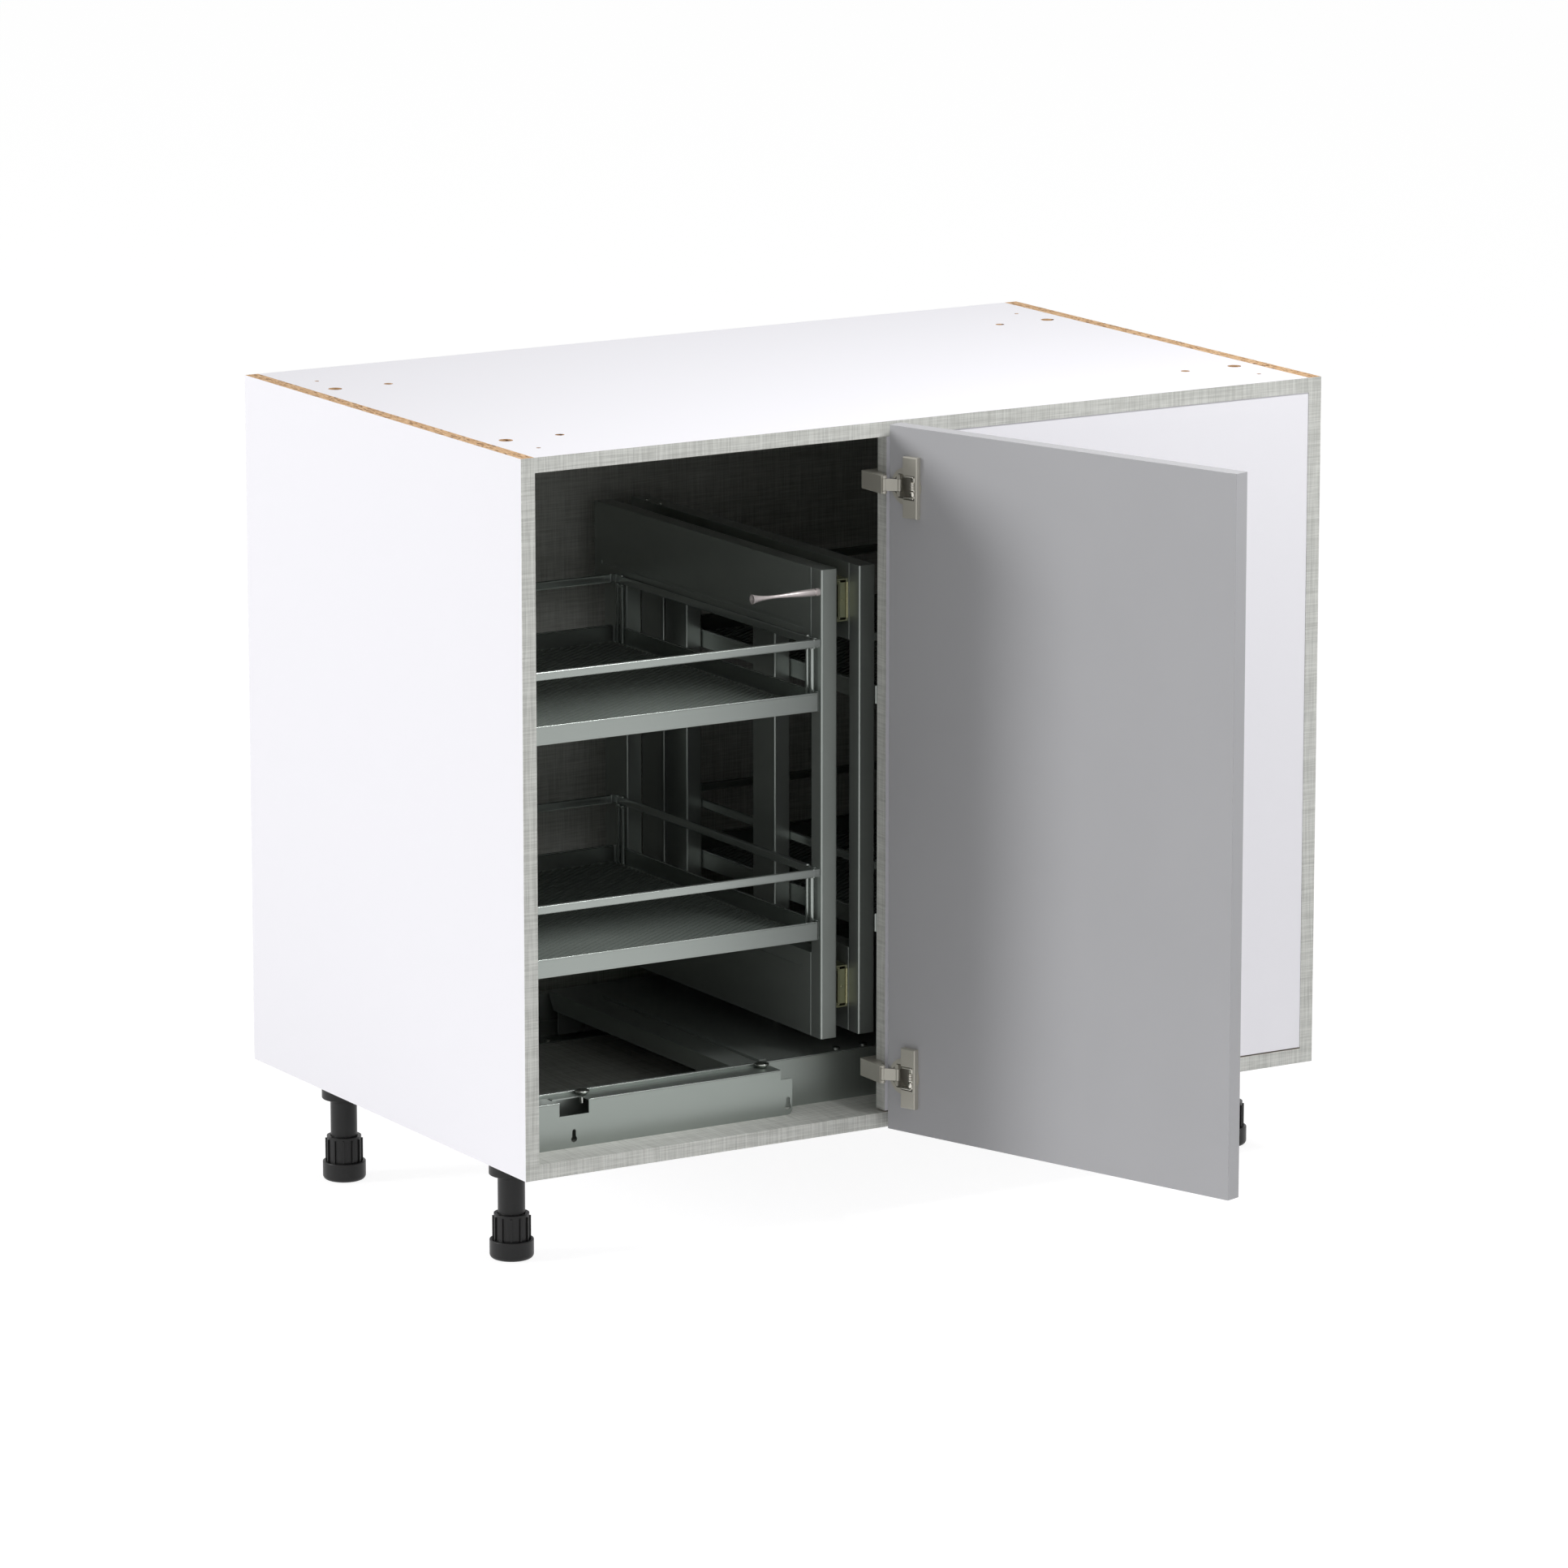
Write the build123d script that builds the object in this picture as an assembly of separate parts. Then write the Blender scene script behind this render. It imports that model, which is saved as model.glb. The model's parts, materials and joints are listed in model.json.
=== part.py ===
"""Blind corner base cabinet with a hinged door and a pull-out tray unit.

All sizes are millimetres. The pieces are first drawn in the carcass's own corner frame:
x runs right from the outer face of the left side, y runs back from the front edges and
z runs up from the underside of the carcass. They are then moved to the part's frame,
whose origin is the middle of the carcass footprint at floor level.
"""

from build123d import *
from math import cos, radians, sin
import os

# Carcass
cabinet_width = 990.6
cabinet_depth = 609.6
carcass_height = 762.0
board = 16.0
band_thickness = 0.8
back_thickness = 8.0
back_setback = 20.0
groove_depth = 6.0
opening_width = 422.0
blind_recess = 1.0
blind_reveal = 1.5

# Dowels between the boards
dowel_diameter = 8.0
dowel_length = 30.0
dowel_in_face = 12.0
dowel_rows = (70.0, 230.0, 380.0, 540.0)
blind_dowel_heights = (150.0, 381.0, 612.0)

# Drilling of the top and bottom boards, measured from a side and from the front
leg_hole_diameter = 15.0
leg_hole_inset = 41.5
leg_hole_front = 106.0
leg_hole_spacing = 374.0
link_hole_diameter = 10.0
link_hole_inset = 105.5
link_hole_front = 106.0
link_hole_spacing = 373.0
screw_hole_diameter = 5.0
screw_hole_inset = 48.0
screw_hole_front = 49.0
screw_hole_spacing = 485.0

# Legs
leg_height = 112.0
socket_diameter = 47.5
socket_height = 21.0
socket_chamfer = 1.0
socket_bore_depth = 15.0
leg_tube_diameter = 29.0
leg_tube_bore = 22.4
leg_tube_length = 80.0
foot_diameter = 47.0
foot_base_height = 21.0
foot_round = 5.0
foot_rim_round = 1.0
collar_diameter = 37.6
collar_height = 28.0
collar_fins = 12
fin_width = 1.6
fin_depth = 1.7
fin_drop = 3.0
collar_wall_gap = 0.5
foot_slot_floor = 13.0
foot_screw_gap = 0.2
foot_screw_length = 70.0

# Door, drawn closed and then swung open
door_thickness = 19.0
door_gap = 2.0
door_side_reveal = 1.5
door_overlap = 17.7
door_end_reveal = 1.3
door_bevel = 1.0
door_open_angle = 108.6

# Hinge linkage in plan: the arm pin is fixed, the cup pin rides in the door
hinge_rise = 61.8
hinge_drop = 64.4
arm_pin_from_panel = 9.2
arm_pin_forward = 10.8
link_length = 16.4
link_open_angle = -43.0
link_closed_angle = 24.5
link_height = 13.0
link_thickness = 1.8
link_offset = 0.5
knuckle_diameter = 4.8
knuckle_cover = 0.5
pin_diameter = 2.5
pin_running_gap = 0.05
arm_height = 19.0
arm_width = 12.0
arm_panel_gap = 1.0
arm_web_front = 2.0
arm_reach = 13.0
arm_tail_length = 55.0
arm_skin = 1.0
arm_round = 2.5
cheek_gap = 0.3
hinge_plate_length = 36.0
hinge_plate_height = 48.0
hinge_plate_thickness = 2.0
hinge_plate_start = 13.0
hinge_screw_spacing = 34.0
cup_edge_distance = 23.0
cup_bore = 35.0
cup_depth = 13.5
cup_wall = 1.2
cup_floor = 1.0
cup_rim_diameter = 40.0
cup_rim_thickness = 1.0
cover_start = 22.4
cover_width = 19.2
cover_height = 65.0
cover_thickness = 6.5
cover_strip = 3.0
cover_window = 26.0
cover_chamfer = 0.8
ear_length = 4.6
ear_depth = 5.0
ear_height = 5.0
link_notch = 14.4

# Screws, as head diameter, head height, shank diameter and shank length
small_head = 8.0
small_head_height = 2.4
small_shank = 3.6
small_shank_length = 11.0
bracket_screw_head = 15.5
bracket_screw_neck = 8.4
bracket_screw_cone = 3.6
bracket_screw_rim = 1.6
bracket_screw_round = 0.8
bracket_screw_shank = 6.0
bracket_screw_shank_length = 9.0

# Base frame of the pull-out
sheet = 1.5
rail_end_gap = 1.0
front_rail_y = 72.0
front_rail_height = 53.5
rear_rail_from_back = 106.6
rear_rail_height = 49.0
rail_foot = 30.0
rail_foot_screw = 24.0
rail_screw_pitch = 225.0
rail_screw_start = 40.0
rail_lip = 3.0
rear_rail_flange = 12.0
track_height = 18.5
track_depth = 12.0
track_running_gap = 0.5

# Bracket in front of the front rail
bracket_y = 44.5
bracket_from_opening = 88.0
bracket_height = 50.0
bracket_step_length = 14.0
bracket_step_drop = 10.5
bracket_corner = 6.0
notch_from_side = 49.5
notch_width = 35.5
notch_drop = 15.0
notch_back = 16.0
tab_length = 58.0
tab_depth = 4.0
tab_drop = 15.0
step_chamfer = 2.0
keyhole_from_side = 67.0
keyhole_from_end = 5.3
keyhole_bottom = 9.0
keyhole_round = 7.0
keyhole_slot = 4.4
keyhole_rise = 8.3
bracket_screw_from_side = 88.0
bracket_screw_from_end = 26.0
bracket_screw_y = 64.0

# Carriage that carries the whole pull-out
carriage_reach = 147.0
carriage_side_gap = 34.6
carriage_gap = 1.5
carriage_height = 50.0
carriage_plate = 2.0
carriage_flange = 18.0
carriage_flange_mitre = 11.0
carriage_rib_offset = 34.0
carriage_rib_width = 8.0
carriage_rib_height = 3.0
carriage_rib_end = 62.0
carriage_screw_offsets = (-12.0, 22.0)
carriage_screw_inset = 8.0
stiffener_drop = 45.0
stiffener_offset = 16.0
roller_width = 9.0
roller_inset = 35.0
roller_gap = 1.0
axle_diameter = 6.0
axle_running_gap = 0.05

# Support frame and front frame
frame_front_y = 60.0
frame_back_gap = 41.6
support_foot_height = 20.5
frame_height = 509.5
frame_thickness = 20.0
frame_wall = 1.5
tube_round = 2.0
front_post_depth = 21.0
rear_post_depth = 48.0
rear_post_inset = 20.0
top_band_height = 83.0
low_band_height = 91.5
bead_height = 4.0
bead_depth = 0.8
bead_from_window = 15.0
front_frame_from_opening = 43.0
support_frame_past_opening = 4.0
upright_depth = 46.0
upright_rear_gap = 4.0
upright_spacing = 188.0

# Telescopic runners between the two frames
runner_height = 46.0
runner_rear_inset = 20.0
runner_front_gap = 3.0
runner_low = 25.5
runner_top = 17.0
runner_wall = 1.5
runner_gap = 0.4
outer_runner_width = 17.0
mid_runner_width = 15.8
mid_runner_from_support = 8.7
inner_runner_width = 15.4

# Trays
tray_rear_gap = 45.0
front_tray_side_gap = 18.0
rear_tray_side_gap = 24.6
lower_tray_rise = 109.5
upper_tray_drop = 151.5
tray_rim = 20.0
tray_sheet = 1.5
tray_corner = 5.0
mat_thickness = 2.0
mat_inset = 9.0
tray_rail_height = 9.0
tray_rail_thickness = 4.0
tray_rail_rise = 68.5
rod_diameter = 5.0
rod_from_corner = 12.0
rod_pitch = 9.0

# Handle on the front frame
handle_length = 82.0
handle_foot_diameter = 8.4
handle_foot_length = 4.5
handle_groove_diameter = 6.0
handle_groove_length = 1.2
handle_grip_diameter = 7.8
handle_waist_diameter = 3.6
handle_waist_at = 56.0
handle_neck_diameter = 6.6
handle_neck_at = 74.0
handle_end_diameter = 11.0
handle_end_lip = 1.2
handle_end_hollow = 2.5
handle_from_top = 24.0
handle_from_front = 5.5

# Worked out
inner_left = board
inner_right = cabinet_width - board
inner_low = board
inner_high = carcass_height - board
mid_x = cabinet_width / 2
opening_right = inner_left + opening_width
blind_back = blind_recess + board
back_front = cabinet_depth - back_setback - back_thickness
leg_names = ("front_left", "front_right", "rear_left", "rear_right")
door_left = door_side_reveal
door_right = opening_right + door_overlap
hinge_heights = {"lower": hinge_rise, "upper": carcass_height - hinge_drop}
arm_pin = (opening_right - arm_pin_from_panel, -arm_pin_forward)
floor_z = inner_low
bracket_start = inner_left + rail_end_gap
bracket_end = opening_right - bracket_from_opening
bracket_screw_spots = (inner_left + bracket_screw_from_side, bracket_end - bracket_screw_from_end)
front_frame_x = opening_right - front_frame_from_opening
support_frame_x = opening_right + support_frame_past_opening
rear_rail_y = back_front - rear_rail_from_back
carriage_low = floor_z + carriage_height
carriage_high = carriage_low + carriage_plate
carriage_left = support_frame_x - carriage_reach
carriage_right = inner_right - carriage_side_gap
frame_low = carriage_high + support_foot_height
frame_top = frame_low + frame_height
frame_end = back_front - frame_back_gap
rear_post_front = frame_end - rear_post_inset - rear_post_depth
upright_front_y = rear_post_front - upright_rear_gap - upright_depth - upright_spacing
window_low = frame_low + low_band_height
window_high = frame_top - top_band_height
runner_y = frame_front_y + front_post_depth + runner_front_gap
runner_end = frame_end - runner_rear_inset
tray_end = frame_end - tray_rear_gap
tray_levels = (frame_low + lower_tray_rise, frame_top - upper_tray_drop)
runner_levels = (frame_low + runner_low, frame_top - runner_top - runner_height)
track_z = floor_z + sheet + track_height
roller_diameter = track_height - track_running_gap
roller_z = floor_z + sheet + roller_diameter / 2
carriage_front = front_rail_y + sheet + rail_lip + carriage_gap
carriage_back = rear_rail_y - carriage_gap


def pin_point(angle):
    """Plan place of the cup pin when the link points along the angle."""
    turn = radians(angle)
    return arm_pin[0] + link_length * cos(turn), arm_pin[1] + link_length * sin(turn)


closed_pin = pin_point(link_closed_angle)
open_pin = pin_point(link_open_angle)
swing_open = (
    Pos(open_pin[0], open_pin[1], 0) * Rot(0, 0, door_open_angle) * Pos(-closed_pin[0], -closed_pin[1], 0)
)
to_part_frame = Pos(-cabinet_width / 2, -cabinet_depth / 2, leg_height)


def block(x, y, z):
    """Box between the two limits given along each axis."""
    size = (x[1] - x[0], y[1] - y[0], z[1] - z[0])
    return Pos(sum(x) / 2, sum(y) / 2, sum(z) / 2) * Box(*size)


def rod(x, y, z, diameter):
    """Upright round bar at (x, y) between the two heights in z."""
    return Pos(x, y, (z[0] + z[1]) / 2) * Cylinder(diameter / 2, z[1] - z[0])


def bar_x(x, y, z, diameter):
    """Round bar along x between the two limits in x."""
    return Pos((x[0] + x[1]) / 2, y, z) * Rot(0, 90, 0) * Cylinder(diameter / 2, x[1] - x[0])


def bar_y(x, y, z, diameter):
    """Round bar along y between the two limits in y."""
    return Pos(x, (y[0] + y[1]) / 2, z) * Rot(90, 0, 0) * Cylinder(diameter / 2, y[1] - y[0])


def write(name, *solids):
    """Save the solids of one node in the part's frame."""
    placed = [to_part_frame * solid for shape in solids for solid in shape.solids()]
    export_step(Compound(placed), f"parts/{name}.step")


def mirrored_spots(inset, front, spacing):
    """Four hole places, the same from both sides."""
    return [(x, y) for y in (front, front + spacing) for x in (inset, cabinet_width - inset)]


def board_holes(z):
    """Through holes that the top and bottom boards share."""
    patterns = (
        (leg_hole_diameter, leg_hole_inset, leg_hole_front, leg_hole_spacing),
        (link_hole_diameter, link_hole_inset, link_hole_front, link_hole_spacing),
        (screw_hole_diameter, screw_hole_inset, screw_hole_front, screw_hole_spacing),
    )
    return [
        rod(x, y, z, diameter)
        for diameter, inset, front, spacing in patterns
        for x, y in mirrored_spots(inset, front, spacing)
    ]


def corner_dowels():
    """Dowels that join the top and bottom boards to the sides."""
    reach = dowel_length - dowel_in_face
    dowels = []
    for z in (board / 2, carcass_height - board / 2):
        for y in dowel_rows:
            left = (inner_left - dowel_in_face, inner_left + reach)
            right = (inner_right - reach, inner_right + dowel_in_face)
            dowels.append(bar_x(left, y, z, dowel_diameter))
            dowels.append(bar_x(right, y, z, dowel_diameter))
    return dowels


def blind_dowels():
    """Dowels that join the blind front panel to the right side."""
    span = (inner_right - dowel_length + dowel_in_face, inner_right + dowel_in_face)
    y = blind_recess + board / 2
    return [bar_x(span, y, z, dowel_diameter) for z in blind_dowel_heights]


def back_panel():
    """Back panel, held in grooves in the four boards round it."""
    return block(
        (inner_left - groove_depth, inner_right + groove_depth),
        (back_front, back_front + back_thickness),
        (inner_low - groove_depth, inner_high + groove_depth),
    )


def carcass_boards():
    """Side, top and bottom boards with their grooves, holes and dowel bores."""
    depth = (band_thickness, cabinet_depth)
    cuts = [back_panel(), *corner_dowels(), *blind_dowels()]
    left = block((0, inner_left), depth, (0, carcass_height)) - cuts
    right = block((inner_right, cabinet_width), depth, (0, carcass_height)) - cuts
    span = (inner_left, inner_right)
    low = (0, board)
    high = (inner_high, carcass_height)
    bottom = block(span, depth, low) - cuts - board_holes(low) - rail_screws()
    top = block(span, depth, high) - cuts - board_holes(high)
    return {"side_left": left, "side_right": right, "bottom_board": bottom, "top_board": top}


def edge_bands():
    """Thin front edge bands of the carcass boards and of the blind panel's free edge."""
    depth = (0, band_thickness)
    span = (inner_left, inner_right)
    heights = (0, carcass_height)
    free_edge = (opening_right, opening_right + band_thickness)
    return [
        block((0, inner_left), depth, heights),
        block((inner_right, cabinet_width), depth, heights),
        block(span, depth, (0, board)),
        block(span, depth, (inner_high, carcass_height)),
        block(free_edge, (blind_recess, blind_back), (inner_low + blind_reveal, inner_high)),
    ]


def blind_panel():
    """Fixed front panel that closes the corner side of the cabinet."""
    panel = block(
        (opening_right + band_thickness, inner_right),
        (blind_recess, blind_back),
        (inner_low + blind_reveal, inner_high),
    )
    return panel - blind_dowels() - hinge_screws()


def leg_socket(x, y):
    """Socket under the bottom board, with a peg in its hole."""
    body = rod(x, y, (-socket_height, 0), socket_diameter)
    body = chamfer(body.faces().sort_by(Axis.Z)[0].edges(), socket_chamfer)
    body += rod(x, y, (0, board), leg_hole_diameter)
    return body - rod(x, y, (-socket_height, socket_bore_depth - socket_height), leg_tube_diameter)


def leg_tube(x, y):
    """Tube pushed up into the socket, open inside for the foot's screw."""
    top = socket_bore_depth - socket_height
    span = (top - leg_tube_length, top)
    return rod(x, y, span, leg_tube_diameter) - rod(x, y, span, leg_tube_bore)


def leg_foot(x, y):
    """Foot with a finned collar outside the tube and a screw inside it."""
    floor = -leg_height
    base_top = floor + foot_base_height
    collar_top = base_top + collar_height
    base = rod(x, y, (floor, base_top), foot_diameter)
    base = fillet(base.edges().group_by(Axis.Z)[0], foot_round)
    base = fillet(base.edges().group_by(Axis.Z)[-1], foot_rim_round)
    foot = base + rod(x, y, (base_top, collar_top), collar_diameter)
    reach = collar_diameter / 2 + fin_depth
    fin = block((0, reach), (-fin_width / 2, fin_width / 2), (base_top, collar_top - fin_drop))
    for turn in range(collar_fins):
        foot += Pos(x, y, 0) * Rot(0, 0, turn * 360 / collar_fins) * fin
    slot = (floor + foot_slot_floor, collar_top)
    foot -= rod(x, y, slot, leg_tube_diameter + 2 * collar_wall_gap)
    screw_top = floor + foot_slot_floor + foot_screw_length
    foot += rod(x, y, (floor + foot_slot_floor, screw_top), leg_tube_bore - 2 * foot_screw_gap)
    return foot


def hinge_screws():
    """Screws that hold the hinge plates to the back of the blind panel."""
    x = opening_right + hinge_plate_start + hinge_plate_length / 2
    head_y = blind_back + hinge_plate_thickness
    screws = []
    for z in hinge_heights.values():
        for side in (-1, 1):
            level = z + side * hinge_screw_spacing / 2
            head = bar_y(x, (head_y, head_y + small_head_height), level, small_head)
            shank = bar_y(x, (head_y - small_shank_length, head_y), level, small_shank)
            screws.append(head + shank)
    return screws


def hinge_plate(z):
    """Mounting plate of one hinge on the back of the blind panel."""
    start = opening_right + hinge_plate_start
    plate = block(
        (start, start + hinge_plate_length),
        (blind_back, blind_back + hinge_plate_thickness),
        (z - hinge_plate_height / 2, z + hinge_plate_height / 2),
    )
    return plate - hinge_screws()


def hinge_arm(z):
    """Arm that wraps the blind panel's edge and ends in a fork for the link pin."""
    half = arm_height / 2
    right = opening_right - arm_panel_gap
    left = right - arm_width
    tail_front = blind_back + hinge_plate_thickness
    back = blind_back + arm_reach
    arm = block((left, right), (-arm_web_front, back), (z - half, z + half))
    tail = block((right, right + arm_tail_length), (tail_front, back), (z - half, z + half))
    arm = fillet((arm + tail).edges().filter_by(Axis.Z).group_by(Axis.Y)[-1], arm_round)
    slot = link_height / 2 + cheek_gap
    radius = knuckle_diameter / 2 + knuckle_cover
    for low, high in ((z - half, z - slot), (z + slot, z + half)):
        cheek = block((left, arm_pin[0] + radius), (arm_pin[1], -arm_web_front), (low, high))
        nose = rod(*arm_pin, (low, high), 2 * radius)
        arm += cheek + nose
    skin = block((left, left + arm_skin), (arm_pin[1], -arm_web_front), (z - half, z + half))
    arm += skin
    return arm - rod(*arm_pin, (z - half, z + half), pin_diameter)


def hinge_link(z):
    """Strap between the arm pin and the cup pin, at rest in its open place."""
    heights = (z - link_height / 2, z + link_height / 2)
    strap = Pos(link_length / 2, -link_offset, z) * Box(link_length, link_thickness, link_height)
    link = Pos(arm_pin[0], arm_pin[1], 0) * Rot(0, 0, link_open_angle) * strap
    for spot in (arm_pin, open_pin):
        link += rod(*spot, heights, knuckle_diameter)
    for spot in (arm_pin, open_pin):
        link -= rod(*spot, heights, pin_diameter + 2 * pin_running_gap)
    return link


def cup_centre():
    """Plan x of the cup's centre on the closed door."""
    return door_right - cup_edge_distance


def cup_disc(depths, diameter, z):
    """Disc on the cup's axis of the closed door, between two depths in y."""
    return bar_y(cup_centre(), depths, z, diameter)


def hinge_cup(z):
    """Cup, rim and raised cover of one hinge on the closed door."""
    face = -door_gap
    low = face - cup_depth
    cup = cup_disc((low, face), cup_bore, z) + cup_disc((face, face + cup_rim_thickness), cup_rim_diameter, z)
    near = door_right - cover_start
    far = near - cover_width
    raised = (face, face + cover_thickness)
    cover = block((far, near), raised, (z - cover_height / 2, z + cover_height / 2))
    cover = chamfer(cover.faces().sort_by(Axis.Y)[-1].edges(), cover_chamfer)
    window = (z - cover_window / 2, z + cover_window / 2)
    cup += cover
    cup -= block((far + cover_strip, near + cover_width), (face + cup_rim_thickness, raised[1]), window)
    inside = cup_disc((low + cup_floor, face), cup_bore - 2 * cup_wall, z)
    mouth = cup_disc((face, face + cup_rim_thickness), cup_bore - 2 * cup_wall, z)
    cup -= inside + (mouth & block((far + cover_strip, door_right), (face, 0), window))
    notch = link_notch / 2
    cup -= block((closed_pin[0], door_right), (face - 2 * link_thickness, 0), (z - notch, z + notch))
    start = link_height / 2 + cheek_gap
    x = (closed_pin[0] - ear_length / 2, closed_pin[0] + ear_length / 2)
    y = (closed_pin[1] - ear_depth / 2, closed_pin[1] + ear_depth / 2)
    for heights in ((z - start - ear_height, z - start), (z + start, z + start + ear_height)):
        cup += block(x, y, heights) & cup_disc((low, face + cup_rim_thickness), cup_bore, z)
    pin = arm_height / 2
    return cup - rod(*closed_pin, (z - pin, z + pin), pin_diameter)


def door_panel():
    """Closed door board with its bevelled edges and the two cup bores."""
    door = block(
        (door_left, door_right),
        (-door_gap - door_thickness, -door_gap),
        (door_end_reveal, carcass_height - door_end_reveal),
    )
    door = chamfer(door.faces().sort_by(Axis.Y)[0].edges(), door_bevel)
    for z in hinge_heights.values():
        door -= cup_disc((-door_gap - cup_depth, -door_gap), cup_bore, z)
    return door


def rail_screws():
    """Screws that hold the feet of the base rails to the bottom board."""
    rows = (front_rail_y + rail_foot_screw, rear_rail_y - rail_foot_screw)
    screws = []
    x = inner_left + rail_screw_start
    while x < inner_right - rail_screw_start / 2:
        for y in rows:
            top = floor_z + sheet
            head = rod(x, y, (top, top + small_head_height), small_head)
            screws.append(head + rod(x, y, (top - small_shank_length, top), small_shank))
        x += rail_screw_pitch
    return screws


def front_rail():
    """Front rail of the base frame: a foot, an upright web and a small lip."""
    span = (inner_left + rail_end_gap, inner_right - rail_end_gap)
    top = floor_z + front_rail_height
    y = front_rail_y
    web = block(span, (y, y + sheet), (floor_z, top))
    foot = block(span, (y, y + rail_foot), (floor_z, floor_z + sheet))
    lip = block(span, (y, y + sheet + rail_lip), (top - sheet, top))
    track = block(span, (y, y + sheet + track_depth), (track_z, track_z + sheet))
    rail = web + foot + lip + track
    return rail - rail_screws()


def rear_rail():
    """Rear rail of the base frame, with its foot forward and its flange back."""
    span = (inner_left + rail_end_gap, inner_right - rail_end_gap)
    top = floor_z + rear_rail_height
    y = rear_rail_y
    web = block(span, (y, y + sheet), (floor_z, top))
    foot = block(span, (y + sheet - rail_foot, y + sheet), (floor_z, floor_z + sheet))
    flange = block(span, (y, y + rear_rail_flange), (top - sheet, top))
    track = block(span, (y - track_depth, y + sheet), (track_z, track_z + sheet))
    return web + foot + flange + track - rail_screws()


def keyhole(x):
    """Hanging hole through the bracket: a round mouth with a slot above it."""
    depths = (bracket_y - sheet, bracket_y + 2 * sheet)
    low = floor_z + keyhole_bottom
    high = low + keyhole_rise
    slot = block((x - keyhole_slot / 2, x + keyhole_slot / 2), depths, (low, high))
    return bar_y(x, depths, low, keyhole_round) + slot + bar_y(x, depths, high, keyhole_slot)


def bracket_screws():
    """Two screws on the bracket's top flange, with heads that widen upwards."""
    top = floor_z + bracket_height
    screws = []
    for x in bracket_screw_spots:
        neck = Cone(bracket_screw_neck / 2, bracket_screw_head / 2, bracket_screw_cone)
        rim_low = top + bracket_screw_cone
        rim = rod(x, bracket_screw_y, (rim_low, rim_low + bracket_screw_rim), bracket_screw_head)
        rim = fillet(rim.faces().sort_by(Axis.Z)[-1].edges(), bracket_screw_round)
        head = Pos(x, bracket_screw_y, top + bracket_screw_cone / 2) * neck + rim
        shank = (top - bracket_screw_shank_length, top)
        screws.append(head + rod(x, bracket_screw_y, shank, bracket_screw_shank))
    return screws


def front_bracket():
    """Cover bracket in front of the front rail, notched and stepped."""
    start = bracket_start
    top = floor_z + bracket_height
    face_y = (bracket_y, bracket_y + sheet)
    step_x = bracket_end - bracket_step_length
    face = block((start, step_x), face_y, (floor_z, top))
    step = block((step_x, bracket_end), face_y, (floor_z, top - bracket_step_drop))
    step = chamfer(step.edges().filter_by(Axis.Y).group_by(Axis.X)[-1].sort_by(Axis.Z)[-1], step_chamfer)
    step = fillet(step.edges().filter_by(Axis.Y).group_by(Axis.X)[-1].sort_by(Axis.Z)[0], bracket_corner)
    notch_start = inner_left + notch_from_side
    notch = (notch_start, notch_start + notch_width)
    flange = block((notch[0], step_x), (bracket_y, front_rail_y), (top - sheet, top))
    tab = block((start, start + tab_length), (front_rail_y - tab_depth, front_rail_y), (top - tab_drop, top))
    bracket = face + step + flange
    bracket -= block(notch, (bracket_y, bracket_y + notch_back), (top - notch_drop, top))
    bracket += tab
    for x in (inner_left + keyhole_from_side, bracket_end - keyhole_from_end):
        bracket -= keyhole(x)
    return bracket - bracket_screws()


def roller_places():
    """Plan places of the four rollers as (x, y limits, y limits of the axle)."""
    front = (front_rail_y + sheet + roller_gap, front_rail_y + sheet + roller_gap + roller_width)
    rear = (rear_rail_y - roller_gap - roller_width, rear_rail_y - roller_gap)
    places = []
    for x in (carriage_left + roller_inset, carriage_right - roller_inset):
        places.append((x, front, (front[0], carriage_front + stiffener_offset)))
        places.append((x, rear, (carriage_back - stiffener_offset, rear[1])))
    return places


def carriage_edge():
    """Turned down left edge of the carriage, mitred at its rear end."""
    outline = Polyline(
        (carriage_front, carriage_low),
        (carriage_back, carriage_low),
        (carriage_back - carriage_flange_mitre, carriage_low - carriage_flange),
        (carriage_front, carriage_low - carriage_flange),
        close=True,
    )
    side = Plane(origin=(carriage_left, 0, 0), x_dir=(0, 1, 0), z_dir=(1, 0, 0))
    return extrude(side * make_face(outline), sheet)


def carriage_screws():
    """Low pan head screws at the front edge of the carriage."""
    screws = []
    for offset in carriage_screw_offsets:
        x = support_frame_x + offset
        y = carriage_front + carriage_screw_inset
        head = rod(x, y, (carriage_high, carriage_high + small_head_height), small_head)
        screws.append(head + rod(x, y, (carriage_low - small_head_height, carriage_high), small_shank))
    return screws


def carriage_rollers():
    """Rollers that run on the feet of the two base rails."""
    bore = axle_diameter + 2 * axle_running_gap
    wheels = []
    for x, y, _ in roller_places():
        wheels.append(bar_y(x, y, roller_z, roller_diameter) - bar_y(x, y, roller_z, bore))
    return wheels


def carriage_axles():
    """Stub axles of the rollers, seated in the carriage's stiffeners."""
    return [bar_y(x, y, roller_z, axle_diameter) for x, _, y in roller_places()]


def carriage():
    """Sheet carriage with a turned down left edge, a rib and two stiffeners."""
    span = (carriage_left, carriage_right)
    depth = (carriage_front, carriage_back)
    plate = block(span, depth, (carriage_low, carriage_high))
    rib_x = carriage_left + carriage_rib_offset
    rib = block(
        (rib_x, rib_x + carriage_rib_width),
        (carriage_front, carriage_back - carriage_rib_end),
        (carriage_high, carriage_high + carriage_rib_height),
    )
    carrier = plate + carriage_edge() + rib
    low = carriage_low - stiffener_drop
    front_y = carriage_front + stiffener_offset
    rear_y = carriage_back - stiffener_offset
    stiffener_span = (carriage_left + 2 * sheet, carriage_right)
    carrier += block(stiffener_span, (front_y - sheet, front_y), (low, carriage_low))
    carrier += block(stiffener_span, (rear_y, rear_y + sheet), (low, carriage_low))
    return carrier - carriage_axles() - carriage_screws()


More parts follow.
